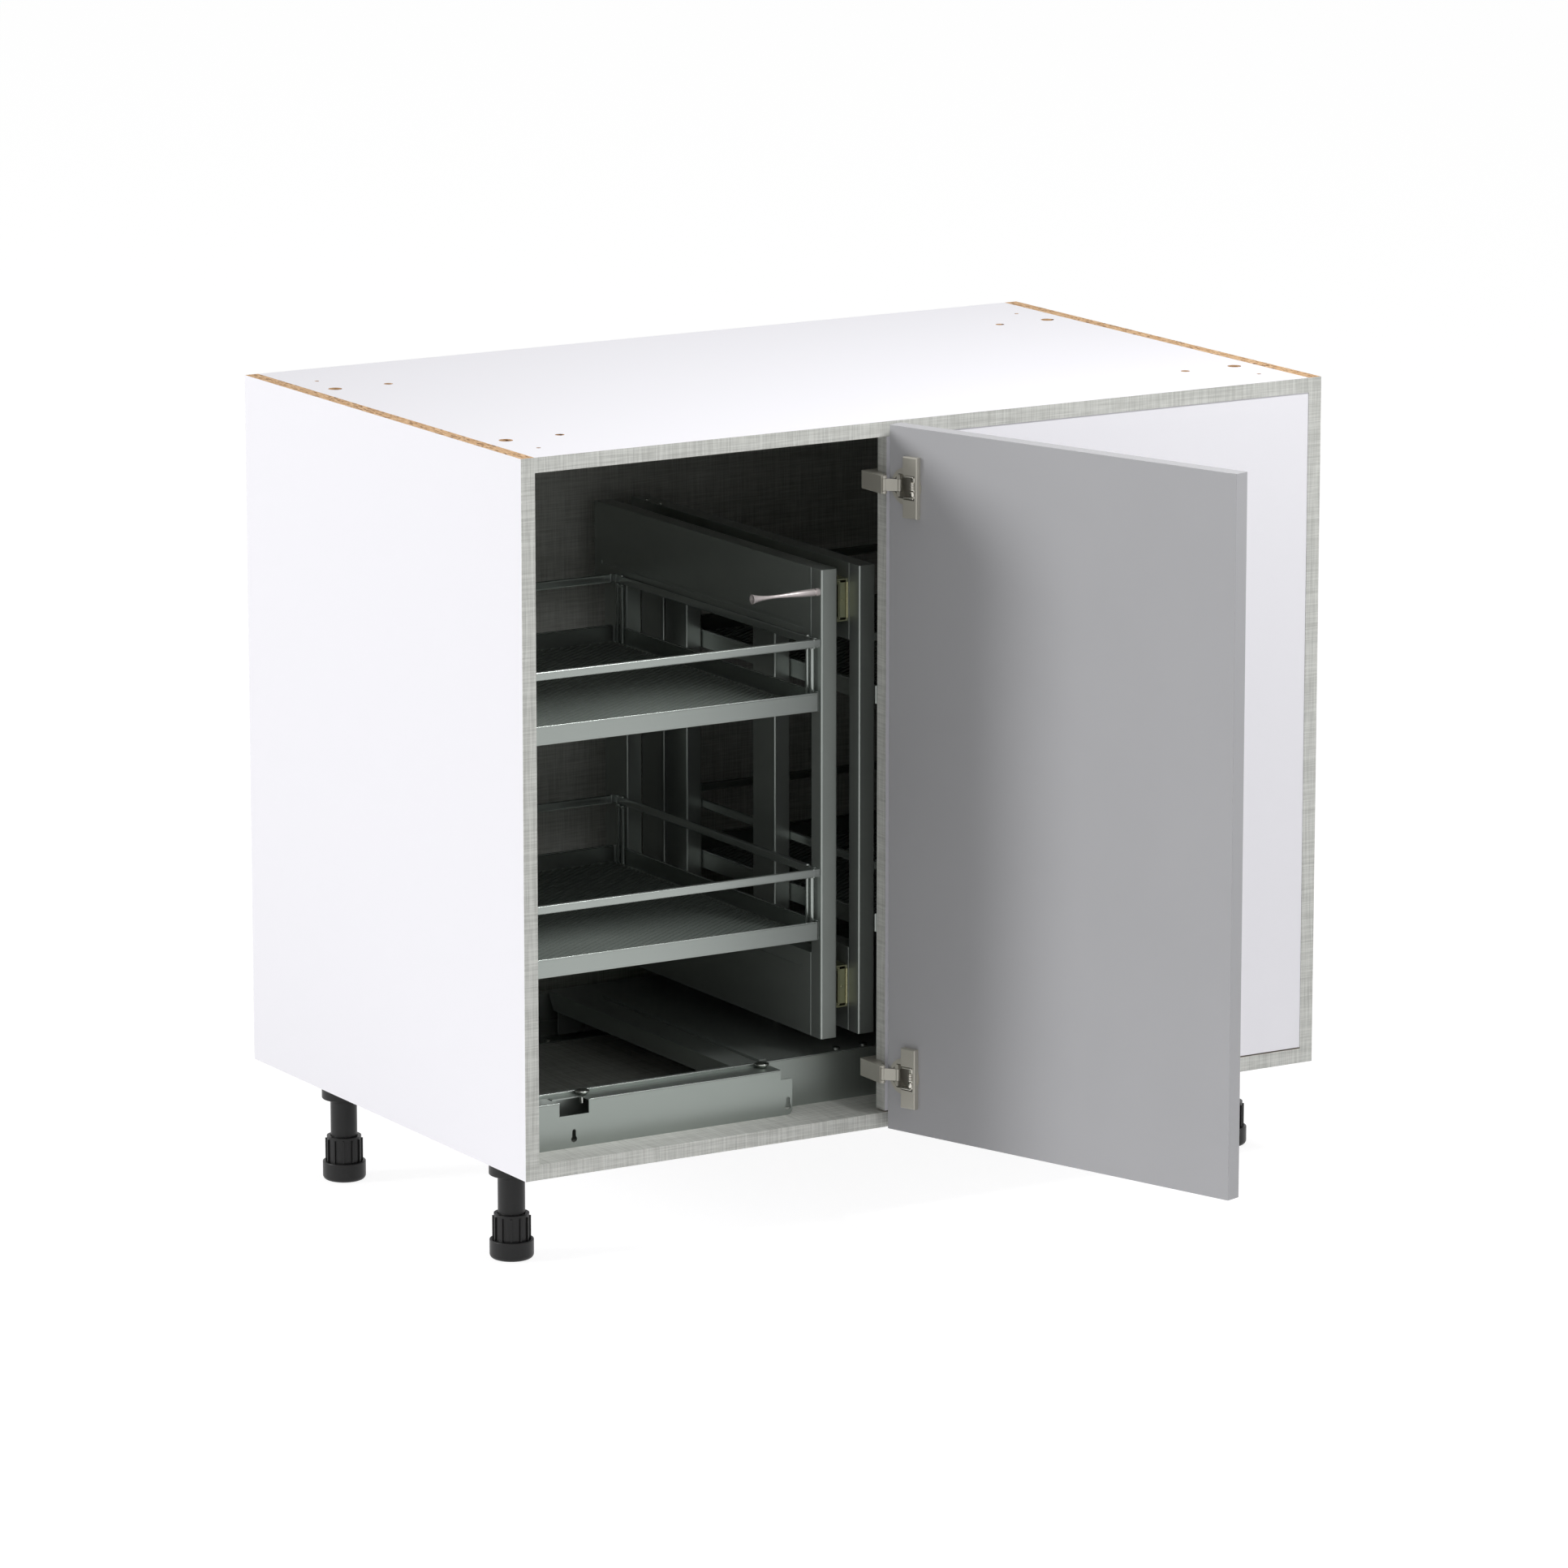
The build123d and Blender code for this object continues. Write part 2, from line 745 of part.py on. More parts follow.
def tube_y(x, y, z):
    """Rectangular tube along y, closed at its front and open at its back."""
    wall = frame_wall
    inside = block((x[0] + wall, x[1] - wall), (y[0] + wall, y[1]), (z[0] + wall, z[1] - wall))
    return block(x, y, z) - inside


def tube_z(x, y, z):
    """Rectangular tube along z, closed at its top and open at its foot."""
    wall = frame_wall
    inside = block((x[0] + wall, x[1] - wall), (y[0] + wall, y[1] - wall), (z[0], z[1] - wall))
    outside = block(x, y, z)
    outside = fillet(outside.edges().filter_by(Axis.Z), tube_round)
    return outside - inside


def beaded(tube, x, z):
    """Frame band with a shallow groove along its outer face."""
    groove = block(
        (x, x + bead_depth),
        (frame_front_y + front_post_depth + bead_from_window, frame_end - bead_from_window),
        (z, z + bead_height),
    )
    return tube - groove


def frame_members(x):
    """The four members of one upright frame whose outer face is at x."""
    span = (x, x + frame_thickness)
    post_end = frame_front_y + front_post_depth
    rear = (rear_post_front, rear_post_front + rear_post_depth)
    top = tube_y(span, (post_end, frame_end), (window_high, frame_top))
    low = tube_y(span, (post_end, frame_end), (frame_low, window_low))
    return {
        "post_front": tube_z(span, (frame_front_y, post_end), (frame_low, frame_top)),
        "post_rear": tube_z(span, rear, (window_low, window_high)),
        "band_top": beaded(top, x, window_high + bead_from_window),
        "band_low": beaded(low, x, window_low - bead_from_window - bead_height),
    }


def support_uprights():
    """Two uprights in the support frame's window, one above each foot."""
    x = (support_frame_x, support_frame_x + frame_thickness)
    uprights = []
    for y in (upright_front_y, upright_front_y + upright_spacing):
        uprights.append(tube_z(x, (y, y + upright_depth), (window_low, window_high)))
    return uprights


def support_feet():
    """Feet that stand the support frame on the carriage."""
    x = (support_frame_x, support_frame_x + frame_thickness)
    feet = []
    for y in (upright_front_y, upright_front_y + upright_spacing):
        feet.append(tube_z(x, (y, y + upright_depth), (carriage_high, frame_low)))
    return feet


def channel(x, height, z, toward):
    """Runner profile: a web with two flanges that point left or right."""
    y = (runner_y, runner_end)
    solid = block(x, y, (z - height / 2, z + height / 2))
    if toward == "left":
        hollow_x = (x[0], x[1] - runner_wall)
    else:
        hollow_x = (x[0] + runner_wall, x[1])
    inner = height / 2 - runner_wall
    return solid - block(hollow_x, y, (z - inner, z + inner))


def runner_profiles():
    """Outer, middle and inner members of the runners, at both levels."""
    mid_height = runner_height - 2 * (runner_wall + runner_gap)
    inner_height = mid_height - 2 * (runner_wall + runner_gap)
    outer_x = (support_frame_x - outer_runner_width, support_frame_x)
    mid_right = support_frame_x - mid_runner_from_support
    mid_x = (mid_right - mid_runner_width, mid_right)
    frame_face = front_frame_x + frame_thickness
    inner_x = (frame_face, frame_face + inner_runner_width)
    members = {"outer": [], "middle": [], "inner": []}
    for low in runner_levels:
        z = low + runner_height / 2
        members["outer"].append(channel(outer_x, runner_height, z, "left"))
        members["middle"].append(channel(mid_x, mid_height, z, "left"))
        members["inner"].append(channel(inner_x, inner_height, z, "right"))
    return members


def tray(x, level):
    """Sheet tray with a low rim and rounded corners."""
    y = (frame_front_y, tray_end)
    outside = block(x, y, (level, level + tray_rim))
    outside = fillet(outside.edges().filter_by(Axis.Z), tray_corner)
    wall = tray_sheet
    inside = block(
        (x[0] + wall, x[1] - wall), (y[0] + wall, y[1] - wall), (level + wall, level + tray_rim)
    )
    inside = fillet(inside.edges().filter_by(Axis.Z), tray_corner - wall)
    return outside - inside


def tray_mat(x, level):
    """Anti-slip mat on the tray's floor, clear of the rods."""
    y = (frame_front_y + mat_inset, tray_end - mat_inset)
    floor = level + tray_sheet
    return block((x[0] + mat_inset, x[1] - mat_inset), y, (floor, floor + mat_thickness))


def tray_gallery(x, level):
    """Flat bar rail above a tray, on pairs of rods near its corners."""
    y = (frame_front_y, tray_end)
    low = level + tray_rail_rise
    heights = (low, low + tray_rail_height)
    bar = tray_rail_thickness
    pieces = [
        block(x, (y[0], y[0] + bar), heights),
        block(x, (y[1] - bar, y[1]), heights),
        block((x[0], x[0] + bar), (y[0] + bar, y[1] - bar), heights),
        block((x[1] - bar, x[1]), (y[0] + bar, y[1] - bar), heights),
    ]
    inset = tray_sheet + rod_diameter / 2
    for rod_x in (x[0] + inset, x[1] - inset):
        for step in (rod_from_corner, rod_from_corner + rod_pitch):
            for rod_y in (y[0] + step, y[1] - step):
                pieces.append(rod(rod_x, rod_y, (level + tray_sheet, low), rod_diameter))
    return pieces


def pull_handle():
    """Slim trumpet shaped handle with a foot, a groove and a hollow end, to the left of the front post."""
    foot = handle_foot_diameter / 2
    groove = handle_groove_diameter / 2
    groove_end = handle_foot_length + handle_groove_length
    grip = (handle_grip_diameter / 2, groove_end)
    waist = (handle_waist_diameter / 2, handle_waist_at)
    neck = (handle_neck_diameter / 2, handle_neck_at)
    end = (handle_end_diameter / 2, handle_length)
    profile = Polyline((0, 0), (foot, 0), (foot, handle_foot_length), (groove, handle_foot_length),
                       (groove, groove_end), grip)
    profile += Spline(grip, waist, neck, end, tangents=((0, 1), (0.5, 1)))
    profile += Polyline(end, (end[0] - handle_end_lip, handle_length),
                        (0, handle_length - handle_end_hollow), (0, 0))
    body = revolve(Plane.XZ * make_face(profile), Axis.Z)
    place = Pos(front_frame_x, frame_front_y + handle_from_front, frame_top - handle_from_top)
    return place * Rot(0, -90, 0) * body


def write_carcass():
    """Boards, bands, dowels and legs."""
    for name, solid in carcass_boards().items():
        write(name, solid)
    write("back_panel", back_panel())
    write("blind_panel", blind_panel())
    write("edge_bands", *edge_bands())
    write("board_dowels", *corner_dowels(), *blind_dowels())
    leg_spots = mirrored_spots(leg_hole_inset, leg_hole_front, leg_hole_spacing)
    write("leg_sockets", *[leg_socket(x, y) for x, y in leg_spots])
    write("leg_tubes", *[leg_tube(x, y) for x, y in leg_spots])
    for name, (x, y) in zip(leg_names, leg_spots):
        write(f"leg_foot_{name}", leg_foot(x, y))


def write_door():
    """Door board, hinges and their pins, with the door swung open."""
    write("door_panel", swing_open * door_panel())
    half = arm_height / 2
    arm_pins = []
    cup_pins = []
    for name, z in hinge_heights.items():
        write(f"hinge_cup_{name}", swing_open * hinge_cup(z))
        write(f"hinge_link_{name}", hinge_link(z))
        write(f"hinge_arm_{name}", hinge_arm(z))
        arm_pins.append(rod(*arm_pin, (z - half, z + half), pin_diameter))
        cup_pins.append(swing_open * rod(*closed_pin, (z - half, z + half), pin_diameter))
    write("hinge_arm_pins", *arm_pins)
    write("hinge_cup_pins", *cup_pins)
    write("hinge_plates", *[hinge_plate(z) for z in hinge_heights.values()])
    write("hinge_screws", *hinge_screws())


def write_base():
    """Base rails, bracket and carriage of the pull-out."""
    write("base_rail_front", front_rail())
    write("base_rail_rear", rear_rail())
    write("base_rail_screws", *rail_screws())
    write("front_bracket", front_bracket())
    write("bracket_screws", *bracket_screws())
    write("carriage", carriage())
    write("carriage_rollers", *carriage_rollers())
    write("carriage_axles", *carriage_axles())
    write("carriage_screws", *carriage_screws())


def write_frames():
    """Support frame, front frame, runners and handle."""
    for prefix, x in (("support", support_frame_x), ("front", front_frame_x)):
        for name, solid in frame_members(x).items():
            write(f"{prefix}_frame_{name}", solid)
    write("support_uprights", *support_uprights())
    write("support_feet", *support_feet())
    for name, solids in runner_profiles().items():
        write(f"runners_{name}", *solids)
    write("pull_handle", pull_handle())


def write_trays():
    """Front and rear trays with their mats and galleries."""
    support_right = support_frame_x + frame_thickness
    spans = {
        "front": (inner_left + front_tray_side_gap, front_frame_x),
        "rear": (support_right, inner_right - rear_tray_side_gap),
    }
    for place, x in spans.items():
        for name, level in zip(("lower", "upper"), tray_levels):
            write(f"{place}_tray_{name}", tray(x, level))
            write(f"{place}_gallery_{name}", *tray_gallery(x, level))
        write(f"{place}_tray_mats", *[tray_mat(x, level) for level in tray_levels])


os.makedirs("parts", exist_ok=True)
write_carcass()
write_door()
write_base()
write_frames()
write_trays()
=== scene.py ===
"""Blind corner base cabinet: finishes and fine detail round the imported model, in a pale studio.

Every mesh is in metres in the model's own frame: x runs right, y runs back and z runs up from the floor.
Lengths are written as millimetres times MM, apart from the door's, which its class explains.
"""
from __future__ import annotations

import json
import logging
import math
from collections.abc import Iterable
from dataclasses import dataclass, field
from enum import Enum, auto

import bmesh
import bpy
from mathutils import Matrix, Vector

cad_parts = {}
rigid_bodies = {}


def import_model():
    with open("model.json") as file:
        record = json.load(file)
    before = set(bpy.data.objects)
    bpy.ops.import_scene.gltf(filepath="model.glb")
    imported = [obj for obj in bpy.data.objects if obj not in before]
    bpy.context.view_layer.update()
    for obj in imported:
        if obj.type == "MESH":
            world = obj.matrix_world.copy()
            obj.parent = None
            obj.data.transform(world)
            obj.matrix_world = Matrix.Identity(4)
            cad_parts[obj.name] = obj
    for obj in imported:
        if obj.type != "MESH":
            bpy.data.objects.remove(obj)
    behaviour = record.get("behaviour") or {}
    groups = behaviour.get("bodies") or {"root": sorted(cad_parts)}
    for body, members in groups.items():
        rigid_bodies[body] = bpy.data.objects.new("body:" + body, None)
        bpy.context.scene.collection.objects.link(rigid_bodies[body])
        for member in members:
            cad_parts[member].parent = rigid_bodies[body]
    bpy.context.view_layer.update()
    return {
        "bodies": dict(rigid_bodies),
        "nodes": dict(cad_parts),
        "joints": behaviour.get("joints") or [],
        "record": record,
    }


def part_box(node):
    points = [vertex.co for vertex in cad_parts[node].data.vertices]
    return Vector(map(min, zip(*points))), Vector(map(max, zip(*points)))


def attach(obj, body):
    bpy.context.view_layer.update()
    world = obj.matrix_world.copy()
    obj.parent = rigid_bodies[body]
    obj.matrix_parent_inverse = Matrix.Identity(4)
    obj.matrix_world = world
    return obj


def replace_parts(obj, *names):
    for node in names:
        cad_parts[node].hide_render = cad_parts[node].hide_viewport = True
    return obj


LOG = logging.getLogger("cabinet")
MM = 0.001
WHITE = "#ffffff"
# Sockets of a Mix node that mixes colours.
MIX_FACTOR = 0
MIX_COLOUR_A = 6
MIX_COLOUR_B = 7
MIX_RESULT = 2
# A noise texture hardly leaves this range.
NOISE_RANGE = {"From Min": 0.3, "From Max": 0.7}
# Points closer than this are one point, in a new shape and in a copied node.
SAME_POINT = 0.001 * MM
COPY_SAME_POINT = 0.002 * MM
COPY_FLAT_ANGLE = math.radians(0.6)
DOME_ANGLES = (0, 20, 40, 60, 75, 90)
RING_SIDES = 8
# Edges above the first angle are rounded, and those above the second one are shaded as sharp.
ROUNDED_ANGLE = math.radians(32)
SHARP_ANGLE = math.radians(40)
# Turns of a shape that stands on the xy plane, so that it points back or to the front.
UP_TO_BACK = Matrix.Rotation(-math.pi / 2, 4, "X")
UP_TO_FRONT = Matrix.Rotation(math.pi / 2, 4, "X")

BMesh = bmesh.types.BMesh
Material = bpy.types.Material
Point = tuple[float, float, float]
Span = tuple[float, float]
Socket = bpy.types.NodeSocket
Tree = bpy.types.NodeTree


def linear(hex_colour: str) -> tuple[float, float, float, float]:
    """Turn an sRGB hex colour into the linear colour that a socket takes.

    Args:
        hex_colour: Colour as six hex digits after a hash sign.

    Returns:
        Linear red, green, blue and an alpha of one.
    """
    channels = [int(hex_colour[i:i + 2], 16) / 255 for i in (1, 3, 5)]
    return (*[c / 12.92 if c <= 0.04045 else ((c + 0.055) / 1.055) ** 2.4 for c in channels], 1.0)


def add_node(tree: Tree, kind: str, inputs: dict | None = None, **settings) -> bpy.types.Node:
    """Add a node with its settings, and link or set its inputs.

    Args:
        tree: Node tree that takes the node.
        kind: Type name of the node.
        inputs: Values or output sockets, by the name or the number of the input.
        **settings: Properties of the node.

    Returns:
        The new node.
    """
    node = tree.nodes.new(kind)
    for name, value in settings.items():
        setattr(node, name, value)
    for key, value in (inputs or {}).items():
        if isinstance(value, bpy.types.NodeSocket):
            tree.links.new(value, node.inputs[key])
        else:
            node.inputs[key].default_value = value
    return node


def new_material(name: str) -> tuple[Material, Tree]:
    """Make a material with an empty node tree.

    Args:
        name: Name of the material.

    Returns:
        The material and its tree.
    """
    material = bpy.data.materials.new(name)
    material.use_nodes = True
    material.node_tree.nodes.clear()
    return material, material.node_tree


def finish_tree(tree: Tree, inputs: dict) -> None:
    """Close a tree with a Principled shader and the material output.

    Args:
        tree: Node tree of the material.
        inputs: Inputs of the shader, as add_node takes them.
    """
    shader = add_node(tree, "ShaderNodeBsdfPrincipled", inputs)
    add_node(tree, "ShaderNodeOutputMaterial", {"Surface": shader.outputs["BSDF"]})


def object_coords(tree: Tree) -> Socket:
    """Return the Object output of a new Texture Coordinate node."""
    return add_node(tree, "ShaderNodeTexCoord").outputs["Object"]


def blended(tree: Tree, share: Socket, first: Socket | str, second: Socket | str) -> Socket:
    """Return a colour between two, at the share of the second.

    Args:
        tree: Node tree of the material.
        share: Share of the second colour.
        first: Socket or hex colour at zero.
        second: Socket or hex colour at one.

    Returns:
        Output socket of the colour.
    """
    ends = [linear(end) if isinstance(end, str) else end for end in (first, second)]
    inputs = {MIX_FACTOR: share, MIX_COLOUR_A: ends[0], MIX_COLOUR_B: ends[1]}
    return add_node(tree, "ShaderNodeMix", inputs, data_type="RGBA").outputs[MIX_RESULT]


class Surface(Enum):
    """Finishes that pieces of the cabinet can take."""

    SIDE_LEFT = auto()
    SIDE_RIGHT = auto()
    TOP = auto()
    BOTTOM = auto()
    BACK = auto()
    BLIND = auto()
    BAND = auto()
    DOOR = auto()
    DOWEL = auto()
    LEG = auto()
    BASE = auto()
    CARRIAGE = auto()
    FRAME = auto()
    TRAY = auto()
    GALLERY = auto()
    MAT = auto()
    NICKEL = auto()
    NICKEL_BRIGHT = auto()
    YELLOW_ZINC = auto()
    YELLOW_ZINC_PAINTED_HIGHLIGHT = auto()
    SCREW = auto()
    ROLLER = auto()
    HANDLE = auto()


@dataclass(frozen=True)
class LinenPaper:
    """Grey linen print: fine cross threads, and darker slubs where a thread runs thick.

    The real threads are about half a millimetre wide. They are drawn at 1.4 mm, and the slubs at 3.5 mm,
    so that they show from a step away.
    """

    light: str = "#d8d9d4"
    dark: str = "#b6b7b2"
    weaves: tuple[tuple[float, float, float], ...] = ((1.4 * MM, 40 * MM, 0.34), (3.5 * MM, 200 * MM, 0.16))
    thread_depth: float = 0.08 * MM
    thread_strength: float = 0.25

    def threads(self, tree: Tree) -> Socket:
        """Return the height of the threads, near 0.5 on average, along the two axes of each face.

        Args:
            tree: Node tree of the material.

        Returns:
            Output socket of the height.
        """
        coords = add_node(tree, "ShaderNodeTexCoord").outputs
        facing = add_node(tree, "ShaderNodeVectorMath", {0: coords["Normal"]}, operation="ABSOLUTE")
        along = add_node(tree, "ShaderNodeSeparateXYZ", {0: facing.outputs[0]})
        total = 0.5
        for spacing, length, share in self.weaves:
            for axis in range(3):
                scale = [1 / length] * 3
                scale[axis] = 1 / spacing
                placed = add_node(tree, "ShaderNodeMapping", {"Vector": coords["Object"], "Scale": scale})
                noise = add_node(tree, "ShaderNodeTexNoise", {"Vector": placed.outputs[0], "Scale": 1.0})
                inputs = {"Value": noise.outputs[0], **NOISE_RANGE, "To Min": -share, "To Max": share}
                lift = add_node(tree, "ShaderNodeMapRange", inputs, clamp=False)
                inputs = {0: 1.0, 1: along.outputs[axis]}
                across = add_node(tree, "ShaderNodeMath", inputs, operation="SUBTRACT", use_clamp=True)
                inputs = {0: lift.outputs[0], 1: across.outputs[0], 2: total}
                total = add_node(tree, "ShaderNodeMath", inputs, operation="MULTIPLY_ADD").outputs[0]
        return total

    def colour(self, tree: Tree, threads: Socket) -> Socket:
        """Return the colour of the paper from the height of its threads."""
        return blended(tree, threads, self.dark, self.light)

    def relief(self, tree: Tree, height: Socket) -> Socket:
        """Return the shading normal of the paper from the height of its threads."""
        inputs = {"Height": height, "Strength": self.thread_strength, "Distance": self.thread_depth}
        return add_node(tree, "ShaderNodeBump", inputs).outputs[0]


@dataclass(frozen=True)
class BoardFinish:
    """Melamine faced chipboard: a plain white face, a linen face, and raw chips on the sawn edges.

    The white paper is smooth and dull. The chips lie flat in the board, so an edge shows them as
    short thin flakes of pale and brown wood.
    """

    name: str
    white_side: Point
    linen_side: Point
    white: str = "#f3f2f7"
    chip: str = "#e0bd94"
    chip_dark: str = "#b98f64"
    flake: str = "#7d5a3a"
    flake_share: float = 0.12
    flake_thickness: float = 1.5 * MM
    flake_length: float = 5.0 * MM
    face_roughness: float = 0.55
    chip_roughness: float = 0.85
    least_cosine: float = 0.7

    def facing(self, tree: Tree, side: Point) -> Socket:
        """Return one where the surface faces the given side, and zero elsewhere.

        Args:
            tree: Node tree of the material.
            side: Direction of the side in the object's frame.

        Returns:
            Output socket of the mask.
        """
        normal = add_node(tree, "ShaderNodeTexCoord").outputs["Normal"]
        along = add_node(tree, "ShaderNodeVectorMath", {0: normal, 1: side}, operation="DOT_PRODUCT")
        inputs = {0: along.outputs["Value"], 1: self.least_cosine}
        return add_node(tree, "ShaderNodeMath", inputs, operation="GREATER_THAN").outputs[0]

    def chip_colour(self, tree: Tree) -> Socket:
        """Return the colour of raw chipboard, with its chips flat in the board.

        Args:
            tree: Node tree of the material.

        Returns:
            Output socket of the colour.
        """
        scale = [1 / (self.flake_thickness if part else self.flake_length) for part in self.white_side]
        placed = add_node(tree, "ShaderNodeMapping", {"Vector": object_coords(tree), "Scale": scale})
        cells = add_node(tree, "ShaderNodeTexVoronoi", {"Vector": placed.outputs[0], "Scale": 1.0})
        shade = add_node(tree, "ShaderNodeSeparateColor", {0: cells.outputs["Color"]})
        chips = blended(tree, shade.outputs[0], self.chip, self.chip_dark)
        inputs = {0: shade.outputs[1], 1: 1 - self.flake_share}
        brown = add_node(tree, "ShaderNodeMath", inputs, operation="GREATER_THAN")
        return blended(tree, brown.outputs[0], chips, self.flake)

    def build(self) -> Material:
        """Make the material.

        Returns:
            The material.
        """
        material, tree = new_material(self.name)
        paper = LinenPaper()
        white = self.facing(tree, self.white_side)
        linen = self.facing(tree, self.linen_side)
        threads = paper.threads(tree)
        inside = blended(tree, linen, self.chip_colour(tree), paper.colour(tree, threads))
        covered = add_node(tree, "ShaderNodeMath", {0: white, 1: linen}, use_clamp=True)
        inputs = {"Value": covered.outputs[0], "To Min": self.chip_roughness, "To Max": self.face_roughness}
        roughness = add_node(tree, "ShaderNodeMapRange", inputs)
        height = add_node(tree, "ShaderNodeMath", {0: threads, 1: linen}, operation="MULTIPLY")
        inputs = {
            "Base Color": blended(tree, white, inside, self.white),
            "Roughness": roughness.outputs[0],
            "Normal": paper.relief(tree, height.outputs[0]),
        }
        finish_tree(tree, inputs)
        return material


@dataclass(frozen=True)
class BandFinish:
    """Linen printed edge band: the same threads as the paper, on a slightly softer plastic."""

    name: str
    roughness: float = 0.5

    def build(self) -> Material:
        """Make the material.

        Returns:
            The material.
        """
        material, tree = new_material(self.name)
        paper = LinenPaper()
        threads = paper.threads(tree)
        colour, normal = paper.colour(tree, threads), paper.relief(tree, threads)
        finish_tree(tree, {"Base Color": colour, "Roughness": self.roughness, "Normal": normal})
        return material


@dataclass(frozen=True)
class CoatFinish:
    """A coated, plated or moulded surface with a fine grain.

    The grain breaks up the highlights, and a slow drift of the colour keeps large faces alive. The real
    grain is finer, and is drawn this coarse so that it shows.
    """

    name: str
    colour: str
    colour_drift: str
    roughness: float
    metallic: float = 0.0
    grain: float = 0.8 * MM
    grain_depth: float = 0.01 * MM
    grain_strength: float = 0.3
    roughness_spread: float = 0.06
    drift: float = 120 * MM
    ior: float = 1.5

    def build(self) -> Material:
        """Make the material.

        Returns:
            The material.
        """
        material, tree = new_material(self.name)
        coords = object_coords(tree)
        inputs = {"Vector": coords, "Scale": 1 / self.drift, "Detail": 2.0}
        cloud = add_node(tree, "ShaderNodeTexNoise", inputs)
        spread = add_node(tree, "ShaderNodeMapRange", {"Value": cloud.outputs[0], **NOISE_RANGE})
        grain = add_node(tree, "ShaderNodeTexNoise", {"Vector": coords, "Scale": 1 / self.grain}).outputs[0]
        low, high = self.roughness - self.roughness_spread, self.roughness + self.roughness_spread
        rough = add_node(tree, "ShaderNodeMapRange", {"Value": grain, "To Min": low, "To Max": high})
        inputs = {"Height": grain, "Strength": self.grain_strength, "Distance": self.grain_depth}
        bump = add_node(tree, "ShaderNodeBump", inputs)
        inputs = {
            "Base Color": blended(tree, spread.outputs[0], self.colour, self.colour_drift),
            "Roughness": rough.outputs[0],
            "Normal": bump.outputs[0],
            "Metallic": self.metallic,
        }
        if not self.metallic:
            inputs["IOR"] = self.ior
        finish_tree(tree, inputs)
        return material


@dataclass(frozen=True)
class WoodFinish:
    """Planed beech, as on dowels: pale, with short darker flecks along the grain."""

    name: str
    colour: str = "#d9b98f"
    fleck: str = "#b98d5f"
    fleck_length: float = 4 * MM
    fleck_width: float = 0.5 * MM
    fleck_range: Span = (0.4, 0.7)
    roughness: float = 0.6

    def build(self) -> Material:
        """Make the material.

        Returns:
            The material.
        """
        material, tree = new_material(self.name)
        scale = (1 / self.fleck_length, 1 / self.fleck_width, 1 / self.fleck_width)
        placed = add_node(tree, "ShaderNodeMapping", {"Vector": object_coords(tree), "Scale": scale})
        inputs = {"Vector": placed.outputs[0], "Scale": 1.0, "Detail": 3.0}
        grain = add_node(tree, "ShaderNodeTexNoise", inputs).outputs[0]
        low, high = self.fleck_range
        spread = add_node(tree, "ShaderNodeMapRange", {"Value": grain, "From Min": low, "From Max": high})
        colour = blended(tree, spread.outputs[0], self.colour, self.fleck)
        finish_tree(tree, {"Base Color": colour, "Roughness": self.roughness})
        return material


